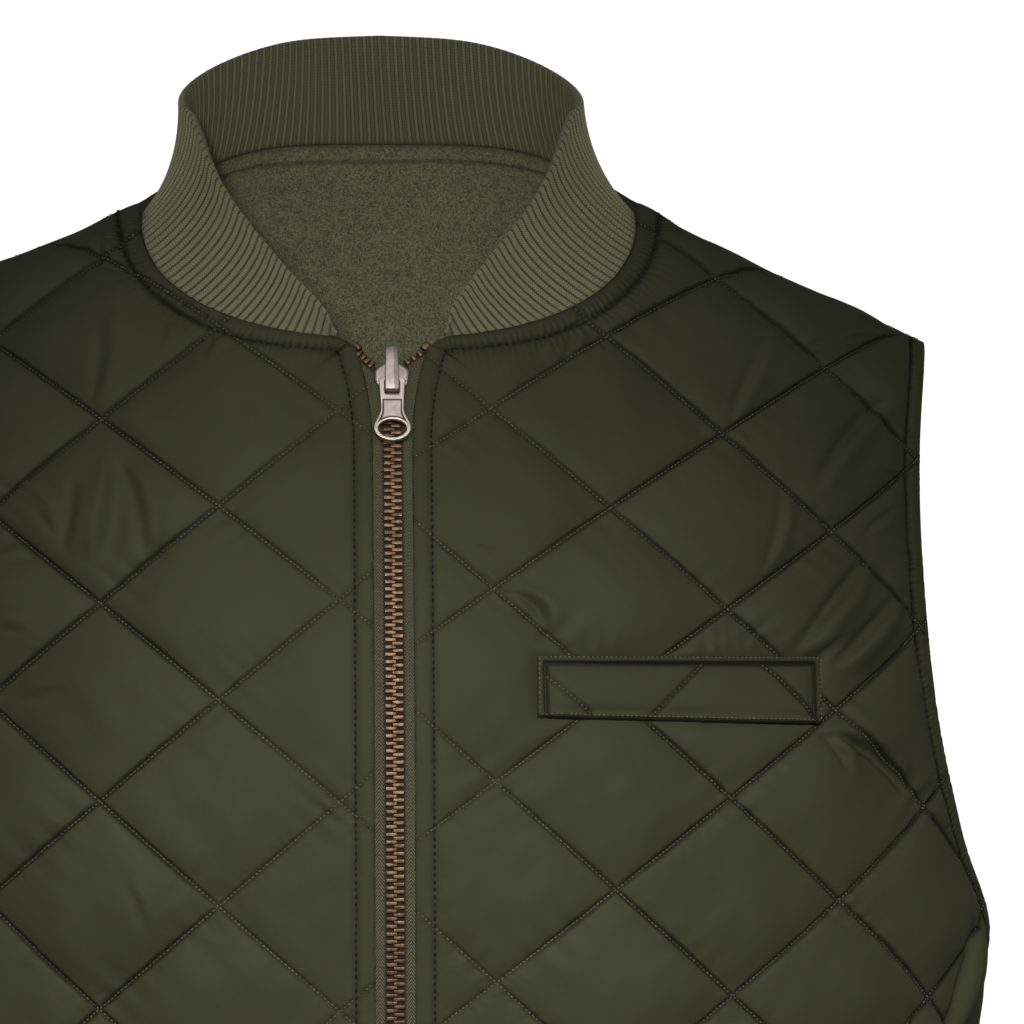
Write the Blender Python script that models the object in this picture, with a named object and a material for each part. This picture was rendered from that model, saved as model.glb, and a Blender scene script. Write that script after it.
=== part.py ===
"""Reversible quilted vest with a rib collar, filled out as it is when worn.

Metres, +Z up. The front faces -Y and the wearer's left is +X. The origin is
midway between the neck ends of the shoulder seams, where a wearer holds it up.

Cloth pieces are cut in the flat. A place on a cut piece is (across, up):
across runs round the body from the centre line, and up runs along the cloth,
where it equals Z below the chest. drape() lays such a place on the worn form.
"""

import math
from collections import namedtuple

import bmesh
import bpy
import numpy as np
from mathutils import Matrix, Vector

# Worn form
HALF_WIDTH = 0.246
DEPTH = {"front": -0.142, "back": 0.120}
SECTION_POWER = 2.4
CHEST_LEVEL = -0.345
HEM_LEVEL = -0.675
HEM_TAPER = 0.03
UNDERARM_LEVEL = -0.318
UNDERARM_FLARE = 0.008
FLARE_LEVEL = -0.302
FLARE_SPAN = 0.026
FLARE_POWER = 10

# Shoulders and neck
SEAM_Y = 0.012
SEAM_LEVEL = -0.005
NECK_HALF = 0.104
NECK_ROUND = 0.070
SHOULDER_TIP = 0.2262
SHOULDER_SLOPE = {1: 0.49, -1: 0.43}
NECK_RISE = {"front": 0.0, "back": 0.070}
NECK_RISE_POWER = 1.2
BLADE_HALF = 0.100
BLADE_START = 0.015
BLADE_FULL = 0.110
NECKLINE_RISE = {"front": -0.050, "back": 0.028}
NECK_POWER = 2.3
BACK_NECK_POWER = 4
CORNER_DIP = 0.0045
CORNER_RUN = 0.010

# Cloth layers
SHELL_WALL = 0.003
LAYER_GAP = 0.0003
LINING_WALL = 0.002
COLLAR_WALL = 0.004
SEAM_GAP = 0.0003
FRONT_EDGE = 0.008
FRONT_EDGE_TOP = 0.0145
FRONT_EDGE_OPENING = 0.045

# Lean of the cloth from upright, by its distance along the cloth from the shoulder seam
Lean = namedtuple("Lean", "along degrees")
LEANS = {
    "front": (
        Lean(0.000, 90), Lean(0.015, 72), Lean(0.040, 48), Lean(0.080, 37), Lean(0.140, 32),
        Lean(0.200, 27), Lean(0.260, 21), Lean(0.320, 13), Lean(0.380, 4), Lean(0.420, 0),
    ),
    "back": (
        Lean(0.000, 90), Lean(0.015, 70), Lean(0.040, 46), Lean(0.080, 32), Lean(0.140, 22),
        Lean(0.200, 13), Lean(0.260, 6), Lean(0.320, 1), Lean(0.380, 0),
    ),
}
LONGEST_CLOTH = 1.2
FORM_STEPS = 2000

# Half width of the vest at the armhole edge, from the underarm up
Armhole = namedtuple("Armhole", "level half_width")
ARMHOLE = (
    Armhole(UNDERARM_LEVEL, HALF_WIDTH), Armhole(-0.313, 0.2453), Armhole(-0.303, 0.2444),
    Armhole(-0.285, 0.2424), Armhole(-0.258, 0.2372), Armhole(-0.215, 0.2280),
    Armhole(-0.165, 0.2228), Armhole(-0.105, 0.2219),
)

# Collar above the neckline, by the share of its half length from the front end
Collar = namedtuple("Collar", "share height inset bend")
COLLAR = (
    Collar(0.00, 0.0030, 0.0020, 0.84), Collar(0.05, 0.0106, 0.0108, 0.84), Collar(0.12, 0.0181, 0.0197, 0.84),
    Collar(0.25, 0.0282, 0.0286, 0.88), Collar(0.38, 0.0346, 0.0282, 0.95), Collar(0.50, 0.0414, 0.0200, 1.00),
    Collar(0.60, 0.0390, 0.0107, 1.00), Collar(0.72, 0.0383, 0.0067, 1.00), Collar(0.86, 0.0415, 0.0060, 1.00),
    Collar(1.00, 0.0430, 0.0062, 1.00),
)
COLLAR_START = 0.021
COLLAR_BEND_HEIGHT = 0.44
COLLAR_SHIFT = -0.0029
COLLAR_SHIFT_RISE = 0.020
COLLAR_AXIS = Vector((0.0, -0.005, 0.0))
COLLAR_SINK = 0.0005
COLLAR_GAP = 0.0013

# Mesh steps of the cloth
NECK_STEPS = 7
SHOULDER_STEPS = {"front": 11, "back": 4}
SIDE_STEPS = 4
ARMHOLE_STEPS = 15
EVEN_CLIMB = np.linspace(0.0, 1.0, ARMHOLE_STEPS + 1)[1:]
ARMHOLE_CLIMB = (EVEN_CLIMB + EVEN_CLIMB ** 2 * (3 - 2 * EVEN_CLIMB)) / 2
ZIP_CROWDING = 1.5
ZIP_CLIMB = 1 - (1 - np.linspace(0.0, 1.0, ARMHOLE_STEPS - NECK_STEPS + 1)[1:]) ** ZIP_CROWDING
TOP_ROW_POWER = {"front": 3, "back": 1}
COLLAR_ROWS = 4
PROBE = 0.0002
SHARP_ANGLE = math.radians(40)

# Chest pocket welt on the wearer's left front
WELT_LEFT = 0.0590
WELT_RIGHT = 0.1745
WELT_TOP = -0.1798
WELT_BOTTOM = (-0.2020, -0.2084)
WELT_WALL = 0.0016
WELT_STEPS = 8

# Zip
TAPE_DEPTH = -0.0015
TAPE_WALL = 0.0008
CHAIN_HALF = 0.00365
CHAIN_WALL = 0.0026
CHAIN_TAPE_GAP = 0.0003
ZIP_STEPS = 18
BOX_HEIGHT = 0.012
BOX_WALL = 0.0044
SLIDER_UP = -0.0573
SLIDER_HALF = 0.0075
SPLIT_WIDTH = 0.0036
SPLIT_STEPS = 3

# Slider, in its own frame: x across, y along the zip upward, z out of the vest
PLATE_INNER = 0.00165
PLATE_OUTER = 0.00285
PLATE_TOP_HALF = 0.0067
PLATE_LOW_HALF = 0.0049
PLATE_SHOULDER = 0.0045
PLATE_WAIST = -0.0015
PLATE_CHAMFER = 0.0019
DIVIDER_HALF = 0.0013
DIVIDER_LOW = 0.0025
RAIL_HALF = 0.0023
RAIL_INNER = 0.0052
RAIL_OUTER = 0.0064
RAIL_TOP = 0.0147
RAIL_BAR = 0.0014
RAIL_FOOT_LOW = -0.0067
RAIL_FOOT_TOP = -0.0016

# Pull tab, in its own frame with the hinge at its origin and y upward
HINGE_ALONG = -0.0005
HINGE_OUT = 0.0040
PULL_WALL = 0.0016
PULL_TOP = 0.0006
PULL_HALF = 0.0056
PULL_RING_DROP = 0.0219
PULL_RING = (0.0076, 0.0057)
PULL_HOLE_DROP = 0.0223
PULL_HOLE = (0.0056, 0.0044)
PULL_WINDOW_HALF = 0.00295
PULL_WINDOW_TOP = -0.0006
PULL_WINDOW_LOW = -0.0072
ROUND_STEPS = 24

# Colours: base colour, roughness, metallic
FINISHES = {
    "shell": ((0.047, 0.049, 0.030), 0.45, 0.0),
    "fleece": ((0.070, 0.074, 0.042), 0.95, 0.0),
    "rib": ((0.093, 0.096, 0.052), 0.90, 0.0),
    "tape": ((0.086, 0.082, 0.043), 0.85, 0.0),
    "teeth": ((0.330, 0.190, 0.110), 0.35, 1.0),
    "slider": ((0.480, 0.400, 0.360), 0.35, 1.0),
}
X_AXIS = Vector((1.0, 0.0, 0.0))


def clear_scene():
    for old in list(bpy.data.objects):
        bpy.data.objects.remove(old, do_unlink=True)


def finish(name):
    material = bpy.data.materials.get(name)
    if material is None:
        colour, roughness, metallic = FINISHES[name]
        material = bpy.data.materials.new(name)
        material.use_nodes = True
        shader = material.node_tree.nodes["Principled BSDF"]
        shader.inputs["Base Color"].default_value = (*colour, 1.0)
        shader.inputs["Roughness"].default_value = roughness
        shader.inputs["Metallic"].default_value = metallic
    return material


def add_object(name, mesh, finish_name, place=None):
    mesh.materials.append(finish(finish_name))
    obj = bpy.data.objects.new(name, mesh)
    bpy.context.scene.collection.objects.link(obj)
    if place is not None:
        obj.matrix_world = place
    return obj


# Worn form


def section_curve(face):
    """Chest section from the centre line to the side: distance round it, x and y."""
    angle = np.linspace(0.0, math.pi / 2, FORM_STEPS)
    x = HALF_WIDTH * np.sin(angle) ** (2 / SECTION_POWER)
    y = DEPTH[face] * np.cos(angle) ** (2 / SECTION_POWER)
    steps = np.hypot(np.diff(x), np.diff(y))
    return np.concatenate([[0.0], np.cumsum(steps)]), x, y


def lean_curve(face):
    """Fall of the cloth from the shoulder seam: distance along it, drop and reach."""
    along = np.linspace(0.0, LONGEST_CLOTH, FORM_STEPS)
    rows = np.array(LEANS[face], dtype=float)
    angle = np.radians(np.interp(along, rows[:, 0], rows[:, 1]))
    middle = (angle[1:] + angle[:-1]) / 2
    step = along[1]
    drop = np.concatenate([[0.0], np.cumsum(np.cos(middle)) * step])
    reach = np.concatenate([[0.0], np.cumsum(np.sin(middle)) * step])
    return along, drop, reach


SECTIONS = {face: section_curve(face) for face in DEPTH}
FALLS = {face: lean_curve(face) for face in DEPTH}
SIDE_ACROSS = {face: SECTIONS[face][0][-1] for face in DEPTH}


def seam_height(x):
    """Height of the shoulder seams' own line at x, rounded off across the neck."""
    lopsided = np.clip(x / NECK_HALF, -1.0, 1.0)
    slope = (SHOULDER_SLOPE[1] * (1 + lopsided) + SHOULDER_SLOPE[-1] * (1 - lopsided)) / 2
    return SEAM_LEVEL - slope * (np.hypot(x, NECK_ROUND) - math.hypot(NECK_HALF, NECK_ROUND))


def ridge_height(face, x):
    """Height that the cloth falls from at x: the shoulder seam, and a higher line across the neck."""
    inside = np.minimum(np.abs(x) / NECK_HALF, 1.0)
    return seam_height(x) + NECK_RISE[face] * (1 - inside ** 3) ** NECK_RISE_POWER


def reach_share(face, ridge, z):
    """Share of the way from the shoulder seam to the chest, front to back, at height z."""
    _, drop, reach = FALLS[face]
    chest_reach = np.interp(ridge - CHEST_LEVEL, drop, reach)
    return np.interp(ridge - z, drop, reach) / chest_reach


def drape(face, across, up):
    """Point of the shell's outer face at a place of the cut piece."""
    across, up = np.broadcast_arrays(np.asarray(across, float), np.asarray(up, float))
    around, section_x, section_y = SECTIONS[face]
    along, drop, _ = FALLS[face]
    x = np.sign(across) * np.interp(np.abs(across), around, section_x)
    depth = np.interp(np.abs(across), around, section_y)
    ridge = ridge_height(face, x)
    chest_along = np.interp(ridge - CHEST_LEVEL, drop, along)
    from_seam = np.maximum(chest_along - (up - CHEST_LEVEL), 0.0)
    z = ridge - np.interp(from_seam, along, drop)
    blade_ridge = seam_height(x) + NECK_RISE[face] * np.exp(-((x / BLADE_HALF) ** 2))
    blade = np.clip((from_seam - BLADE_START) / (BLADE_FULL - BLADE_START), 0.0, 1.0)
    blade = blade * blade * (3 - 2 * blade)
    share = (1 - blade) * reach_share(face, ridge, z) + blade * reach_share(face, blade_ridge, z)
    y = SEAM_Y + (depth - SEAM_Y) * share
    near_side = (np.abs(x) / HALF_WIDTH) ** FLARE_POWER
    flare = UNDERARM_FLARE * np.exp(-((z - FLARE_LEVEL) / FLARE_SPAN) ** 2) * near_side
    below = np.clip((CHEST_LEVEL - up) / (CHEST_LEVEL - HEM_LEVEL), 0.0, 1.0)
    taper = 1 - HEM_TAPER * below
    return np.stack([(x + np.sign(x) * flare) * taper, y * taper, z], axis=-1)


def cut_place(face, x, z):
    """Place on the cut piece of the point that is seen at x and z from the front or back."""
    x, z = np.broadcast_arrays(np.asarray(x, float), np.asarray(z, float))
    around, section_x, _ = SECTIONS[face]
    along, drop, _ = FALLS[face]
    ridge = ridge_height(face, x)
    chest_along = np.interp(ridge - CHEST_LEVEL, drop, along)
    from_seam = np.interp(ridge - z, drop, along)
    across = np.sign(x) * np.interp(np.abs(x), section_x, around)
    return across, CHEST_LEVEL + chest_along - from_seam


def outward(face, across, up):
    """Unit normal of the worn form, pointing out of the vest."""
    right = drape(face, across + PROBE, up) - drape(face, across - PROBE, up)
    above = drape(face, across, up + PROBE) - drape(face, across, up - PROBE)
    normal = np.cross(right, above) * (1.0 if face == "front" else -1.0)
    return normal / np.linalg.norm(normal, axis=-1, keepdims=True)


def smooth_rows(value, rows):
    """Smooth curve through the rows of a table, read at value: every column after the first."""
    table = np.array(rows, dtype=float)
    keys, columns = table[:, 0], table[:, 1:]
    slopes = np.gradient(columns, keys, axis=0)
    value = np.asarray(value, float)
    low = np.clip(np.searchsorted(keys, value) - 1, 0, len(keys) - 2)
    span = (keys[low + 1] - keys[low])[..., None]
    u = ((value - keys[low])[..., None]) / span
    rise = u * u * (3 - 2 * u)
    bend = u * (1 - u)
    ends = columns[low] * (1 - rise) + columns[low + 1] * rise
    return ends + span * bend * ((1 - u) * slopes[low] - u * slopes[low + 1])


# Edges of the cut pieces


def neckline(face, side, turn):
    """Neckline seen from the front or back, turn 0 at the shoulder and 1 at the centre."""
    angle = np.asarray(turn, float) * math.pi / 2
    x = NECK_HALF * np.cos(angle) ** (2 / NECK_POWER)
    if face == "back":
        z = SEAM_LEVEL + NECKLINE_RISE[face] * (1 - (x / NECK_HALF) ** BACK_NECK_POWER)
    else:
        corner = np.clip(1 - (x - FRONT_EDGE_TOP) / CORNER_RUN, 0.0, 1.0)
        z = SEAM_LEVEL + NECKLINE_RISE[face] * np.sin(angle) ** (2 / NECK_POWER)
        z = z - CORNER_DIP * corner ** 2
    return side * x, z


def neck_turn(x):
    """Turn of the neckline at which it is x from the centre."""
    return math.acos((x / NECK_HALF) ** (NECK_POWER / 2)) / (math.pi / 2)


def neck_edge(face, side):
    """Neckline from the centre to the shoulder."""
    start = neck_turn(FRONT_EDGE_TOP) if face == "front" else 1.0
    x, z = neckline(face, side, np.linspace(start, 0.0, NECK_STEPS + 1))
    across, up = cut_place(face, x, z)
    up[-1] -= SEAM_GAP / 2
    return np.stack([across, up], axis=-1)


def shoulder_edge(face, side):
    """Shoulder seam from the neck to its tip."""
    x = side * np.linspace(NECK_HALF, SHOULDER_TIP, SHOULDER_STEPS[face] + 1)
    across, up = cut_place(face, x, ridge_height(face, x))
    return np.stack([across, up - SEAM_GAP / 2], axis=-1)


def outer_edge(face, side):
    """Side seam from the hem to the underarm, then the armhole to the shoulder tip."""
    side_across = side * (SIDE_ACROSS[face] - SEAM_GAP / 2)
    seam_up = np.linspace(HEM_LEVEL, UNDERARM_LEVEL, SIDE_STEPS + 1)
    seam = np.stack([np.full_like(seam_up, side_across), seam_up], axis=-1)
    tip = float(ridge_height(face, np.array(side * SHOULDER_TIP)))
    rows = (*ARMHOLE, Armhole(tip, SHOULDER_TIP))
    level = UNDERARM_LEVEL + (tip - UNDERARM_LEVEL) * ARMHOLE_CLIMB
    half_width = smooth_rows(level, rows)[:, 0]
    across, up = cut_place(face, side * half_width, level)
    across = np.clip(across, -abs(side_across), abs(side_across))
    up[-1] -= SEAM_GAP / 2
    return np.concatenate([seam, np.stack([across, up], axis=-1)])


def front_edge(up, top):
    """Distance of a front's zip edge from the centre line, opening towards the neck."""
    opening = np.clip((up - (top - FRONT_EDGE_OPENING)) / FRONT_EDGE_OPENING, 0.0, 1.0)
    return FRONT_EDGE + (FRONT_EDGE_TOP - FRONT_EDGE) * opening ** 2


def centre_edge(face, side, top):
    """Zip edge of a front or middle line of the back, from the hem up to the neckline."""
    low = np.linspace(HEM_LEVEL, UNDERARM_LEVEL, SIDE_STEPS + 1)
    climb = ZIP_CLIMB if face == "front" else ARMHOLE_CLIMB
    up = np.concatenate([low, UNDERARM_LEVEL + (top[1] - UNDERARM_LEVEL) * climb])
    across = side * front_edge(up, top[1]) if face == "front" else np.zeros_like(up)
    across[-1] = top[0]
    return np.stack([across, up], axis=-1)


def half_panel(face, side):
    """Grid of places on one half of the vest: rows from the hem up, columns from the centre out.

    A front's rows start on its zip edge and neckline and its top row is the shoulder seam.
    The back's rows start on its middle line and its top row is the neckline and shoulder seam.
    """
    neck = neck_edge(face, side)
    shoulder = shoulder_edge(face, side)
    outer = outer_edge(face, side)
    centre = centre_edge(face, side, neck[0])
    if face == "front":
        centre = np.concatenate([centre, neck[1:]])
        top = shoulder
    else:
        top = np.concatenate([neck, shoulder[1:]])
    u = np.linspace(0.0, 1.0, len(top))[:, None]
    rows = (1 - u) * centre[:, None] + u * outer[:, None]
    level = (centre[:, 1] + outer[:, 1]) / 2
    share = (level - level[0]) / (level[-1] - level[0])
    return rows + share[:, None, None] ** TOP_ROW_POWER[face] * (top - rows[-1])


def panel(face, side):
    """Grid of one front, or of the whole back from the wearer's right to the left."""
    if face == "front":
        return half_panel(face, side)
    right = half_panel(face, -1)
    left = half_panel(face, 1)
    return np.concatenate([right[:, ::-1], left[:, 1:]], axis=1)


# Walls


def wall_mesh(name, outer, inner):
    """Closed wall between two grids of points with the same rows and columns."""
    rows, columns = outer.shape[:2]
    mesh_builder = bmesh.new()
    sheets = []
    for grid in (outer, inner):
        sheets.append([[mesh_builder.verts.new(point) for point in row] for row in grid])

    def add_quad(a, b, c, d):
        mesh_builder.faces.new((a, b, c))
        mesh_builder.faces.new((a, c, d))

    for sheet in sheets:
        for j in range(rows - 1):
            for i in range(columns - 1):
                add_quad(sheet[j][i], sheet[j][i + 1], sheet[j + 1][i + 1], sheet[j + 1][i])
    rim = [(0, i) for i in range(columns)]
    rim += [(j, columns - 1) for j in range(1, rows)]
    rim += [(rows - 1, i) for i in range(columns - 2, -1, -1)]
    rim += [(j, 0) for j in range(rows - 2, 0, -1)]
    for (j, i), (l, k) in zip(rim, rim[1:] + rim[:1]):
        add_quad(sheets[0][j][i], sheets[0][l][k], sheets[1][l][k], sheets[1][j][i])
    bmesh.ops.recalc_face_normals(mesh_builder, faces=mesh_builder.faces)
    mesh = bpy.data.meshes.new(name)
    mesh_builder.to_mesh(mesh)
    mesh_builder.free()
    mesh.shade_smooth()
    mesh.set_sharp_from_angle(angle=SHARP_ANGLE)
    return mesh


def panel_normals(face, grid):
    """Normals over a panel; along the shoulder and side seams the wall stands square to the seam."""
    normals = outward(face, grid[..., 0], grid[..., 1])
    ridge_up = cut_place(face, drape(face, grid[-1, :, 0], grid[-1, :, 1])[:, 0], 1.0)[1]
    on_seam = np.zeros(grid.shape[:2], dtype=bool)
    on_seam[-1] = grid[-1, :, 1] > ridge_up - 2 * SEAM_GAP
    on_seam |= np.abs(grid[..., 0]) > SIDE_ACROSS[face] - SEAM_GAP
    normals[on_seam, 1] = 0.0
    return normals / np.linalg.norm(normals, axis=-1, keepdims=True)


def add_panel(name, face, side, depth, wall, finish_name):
    grid = panel(face, side)
    points = drape(face, grid[..., 0], grid[..., 1])
    normals = panel_normals(face, grid)
    mesh = wall_mesh(name, points - normals * depth, points - normals * (depth + wall))
    return add_object(name, mesh, finish_name)


def add_body():
    lining_depth = SHELL_WALL + LAYER_GAP
    for layer, depth, wall, finish_name in (
        ("", 0.0, SHELL_WALL, "shell"), ("lining_", lining_depth, LINING_WALL, "fleece"),
    ):
        add_panel(f"{layer}front_left", "front", 1, depth, wall, finish_name)
        add_panel(f"{layer}front_right", "front", -1, depth, wall, finish_name)
        add_panel(f"{layer}back", "back", 0, depth, wall, finish_name)


# Collar


def neck_path(side):
    """Half of the collar's seam from its front end to the centre back, on the panels' own points."""
    points, normals = [], []
    on_front = (slice(-NECK_STEPS - 1, None), 0)
    on_back = (-1, slice(NECK_STEPS - 1, None, -1))
    for face, where in (("front", on_front), ("back", on_back)):
        grid = half_panel(face, side)
        points.append(drape(face, grid[..., 0], grid[..., 1])[where])
        normals.append(panel_normals(face, grid)[where])
    points = np.concatenate(points)
    normals = np.concatenate(normals)
    start = (COLLAR_START - FRONT_EDGE_TOP) / (abs(points[1, 0]) - FRONT_EDGE_TOP)
    for column in (points, normals):
        column[0] += (column[1] - column[0]) * start
    lengths = np.linalg.norm(np.diff(points, axis=0), axis=1)
    share = np.concatenate([[0.0], np.cumsum(lengths)]) / lengths.sum()
    halves = np.sort(np.concatenate([share, (share[1:] + share[:-1]) / 2]))
    read = [np.interp(halves, share, column) for column in (*points.T, *normals.T)]
    return halves, np.stack(read[:3], axis=-1), np.stack(read[3:], axis=-1)


def collar_half(side):
    """Outer face and outward direction of half the collar, rows from the seam to the fold."""
    share, seam, shell_normal = neck_path(side)
    height, inset, bend_share = smooth_rows(share, COLLAR).T
    inward = np.array(COLLAR_AXIS) - seam * (1, 1, 0)
    inward /= np.linalg.norm(inward, axis=1, keepdims=True)
    rise = np.array((0.0, 0.0, 1.0))
    sideways = COLLAR_SHIFT * np.minimum(height / COLLAR_SHIFT_RISE, 1.0)[:, None] * np.array(X_AXIS)
    bend = seam + (bend_share * inset)[:, None] * inward + COLLAR_BEND_HEIGHT * height[:, None] * rise
    bend += 0.6 * sideways
    fold = seam + inset[:, None] * inward + height[:, None] * rise + sideways
    clear = np.cross(np.gradient(seam, axis=0), shell_normal)
    clear *= np.sign(np.sum(clear * inward, axis=1, keepdims=True))
    clear /= np.linalg.norm(clear, axis=1, keepdims=True)
    seam = seam - COLLAR_SINK * shell_normal + COLLAR_GAP * clear
    w = np.linspace(0.0, 1.0, COLLAR_ROWS + 1)[:, None, None]
    points = (1 - w) ** 2 * seam + 2 * w * (1 - w) * bend + w ** 2 * fold
    return points, shell_normal


def add_collar():
    right, right_normal = collar_half(-1)
    left, left_normal = collar_half(1)
    points = np.concatenate([right, left[:, -2::-1]], axis=1)
    seam_normal = np.concatenate([right_normal, left_normal[-2::-1]])
    along = np.gradient(points, axis=1)
    upward = np.gradient(points, axis=0)
    normals = np.cross(upward, along)
    normals[0] = seam_normal
    normals /= np.linalg.norm(normals, axis=-1, keepdims=True)
    mesh = wall_mesh("collar", points, points - normals * COLLAR_WALL)
    return add_object("collar", mesh, "rib")


# Pocket


def add_welt():
    columns = np.linspace(0.0, 1.0, WELT_STEPS + 1)
    rows = np.linspace(0.0, 1.0, 3)[:, None]
    across = WELT_LEFT + (WELT_RIGHT - WELT_LEFT) * columns
    low = WELT_BOTTOM[0] + (WELT_BOTTOM[1] - WELT_BOTTOM[0]) * columns
    up = low + (WELT_TOP - low) * rows
    across = np.broadcast_to(across, up.shape)
    points = drape("front", across, up)
    normals = outward("front", across, up)
    outer = points + normals * (LAYER_GAP + WELT_WALL)
    inner = points + normals * LAYER_GAP
    return add_object("pocket_welt", wall_mesh("pocket_welt", outer, inner), "shell")


# Zip


def zip_normal(up):
    """Outward direction of the zip, square to its teeth."""
    normal = outward("front", np.zeros_like(up), up)
    normal[..., 0] = 0.0
    return normal / np.linalg.norm(normal, axis=-1, keepdims=True)


def zip_points(x, up, out):
    """Points of the zip, x from the centre line and out from the fronts' outer face."""
    x, up = np.broadcast_arrays(np.asarray(x, float), np.asarray(up, float))
    points = drape("front", np.zeros_like(up), up) + zip_normal(up) * out
    points[..., 0] = x
    return points


def add_strip(name, inner_x, outer_x, up, wall, finish_name):
    """Flat strip of the zip between two lines beside the centre."""
    x = np.stack([inner_x, outer_x], axis=-1)
    ups = np.broadcast_to(up[:, None], x.shape)
    mesh = wall_mesh(
        name, zip_points(x, ups, TAPE_DEPTH + wall / 2), zip_points(x, ups, TAPE_DEPTH - wall / 2)
    )
    return add_object(name, mesh, finish_name)


def add_zip():
    front = centre_edge("front", 1, neck_edge("front", 1)[0])
    corner = front[-1, 1]
    mouth = SLIDER_UP + DIVIDER_LOW - SEAM_GAP
    chain_up = np.linspace(HEM_LEVEL + BOX_HEIGHT + SEAM_GAP, mouth, ZIP_STEPS + 1)
    half = np.full_like(chain_up, CHAIN_HALF)
    add_strip("zip_chain", -half, half, chain_up, CHAIN_WALL, "teeth")
    box_up = np.array([HEM_LEVEL, HEM_LEVEL + BOX_HEIGHT])
    half = np.full_like(box_up, CHAIN_HALF)
    add_strip("zip_box", -half, half, box_up, BOX_WALL, "teeth")

    tape_up = np.sort(np.append(front[:, 1], mouth))
    outer = np.interp(tape_up, front[:, 1], front[:, 0]) - SEAM_GAP
    beside = CHAIN_HALF + CHAIN_TAPE_GAP
    inner = np.maximum(beside, outer - (outer[0] - beside))
    split_up = np.linspace(mouth + SEAM_GAP, corner, SPLIT_STEPS + 1)
    split = (split_up - mouth) / (corner - mouth)
    split_outer = np.interp(split_up, tape_up, inner) - CHAIN_TAPE_GAP
    split_inner = split_outer - SPLIT_WIDTH + (DIVIDER_HALF + SEAM_GAP) * (1 - split)
    for name, side in (("left", 1), ("right", -1)):
        add_strip(f"zip_tape_{name}", side * inner, side * outer, tape_up, TAPE_WALL, "tape")
        add_strip(
            f"zip_top_{name}", side * split_inner, side * split_outer, split_up, CHAIN_WALL, "teeth"
        )


def slider_frame():
    """Frame of the slider: x across, y up along the zip and z out of the vest."""
    centre = Vector(zip_points(0.0, SLIDER_UP, TAPE_DEPTH))
    out = Vector(zip_normal(np.array(SLIDER_UP)))
    along = out.cross(X_AXIS).normalized()
    turn = Matrix((X_AXIS, along, out)).transposed().to_4x4()
    return Matrix.Translation(centre) @ turn


def prism(name, outline, low, high, axes=(0, 1, 2)):
    """Closed prism of an outline: axes says which axis each outline value and the height take."""
    mesh_builder = bmesh.new()
    points = []
    for first, second in outline:
        point = [0.0, 0.0, 0.0]
        point[axes[0]] = first
        point[axes[1]] = second
        point[axes[2]] = low
        points.append(mesh_builder.verts.new(point))
    base = mesh_builder.faces.new(points)
    grown = bmesh.ops.extrude_face_region(mesh_builder, geom=[base])
    lift = [0.0, 0.0, 0.0]
    lift[axes[2]] = high - low
    moved = [item for item in grown["geom"] if isinstance(item, bmesh.types.BMVert)]
    bmesh.ops.translate(mesh_builder, verts=moved, vec=lift)
    bmesh.ops.recalc_face_normals(mesh_builder, faces=mesh_builder.faces)
    mesh = bpy.data.meshes.new(name)
    mesh_builder.to_mesh(mesh)
    mesh_builder.free()
    return mesh


def combine(obj, name, mesh, operation):
    """Boolean of obj with a hidden helper shape in the same frame."""
    helper = add_object(name, mesh, "slider", obj.matrix_world)
    helper.hide_render = True
    helper.display_type = "WIRE"
    modifier = obj.modifiers.new(name, "BOOLEAN")
    modifier.operation = operation
    modifier.object = helper


def mirrored(half_outline):
    """Whole outline from its right half, listed from the top down."""
    return list(half_outline) + [(-x, y) for x, y in reversed(half_outline)]


def ellipse(half_sizes, drop, first, last):
    """Points of an ellipse below the hinge, between two angles."""
    angles = np.linspace(first, last, ROUND_STEPS + 1)
    return [(half_sizes[0] * math.cos(a), half_sizes[1] * math.sin(a) - drop) for a in angles]


def add_slider(frame):
    plate = mirrored((
        (DIVIDER_HALF, SLIDER_HALF), (PLATE_TOP_HALF, SLIDER_HALF - PLATE_CHAMFER),
        (PLATE_TOP_HALF, PLATE_SHOULDER), (PLATE_LOW_HALF, PLATE_WAIST), (PLATE_LOW_HALF, -SLIDER_HALF),
    ))
    slider = add_object("zip_slider", prism("zip_slider", plate, PLATE_INNER, PLATE_OUTER), "slider", frame)
    back_plate = prism("slider_back_plate", plate, -PLATE_OUTER, -PLATE_INNER)
    combine(slider, "slider_back_plate", back_plate, "UNION")
    divider = mirrored(((DIVIDER_HALF, SLIDER_HALF), (DIVIDER_HALF, DIVIDER_LOW)))
    reach = (PLATE_INNER + PLATE_OUTER) / 2
    combine(slider, "slider_divider", prism("slider_divider", divider, -reach, reach), "UNION")
    rail = (
        (RAIL_OUTER, RAIL_FOOT_LOW), (RAIL_OUTER, RAIL_TOP), (-RAIL_OUTER, RAIL_TOP),
        (-RAIL_OUTER, RAIL_FOOT_LOW), (-reach, RAIL_FOOT_LOW), (-reach, RAIL_FOOT_TOP),
        (-RAIL_INNER, RAIL_FOOT_TOP), (-RAIL_INNER, RAIL_TOP - RAIL_BAR),
        (RAIL_INNER, RAIL_TOP - RAIL_BAR), (RAIL_INNER, RAIL_FOOT_TOP),
        (reach, RAIL_FOOT_TOP), (reach, RAIL_FOOT_LOW),
    )
    rail_mesh = prism("slider_rail", rail, -RAIL_HALF, RAIL_HALF, axes=(2, 1, 0))
    combine(slider, "slider_rail", rail_mesh, "UNION")
    return slider


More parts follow.
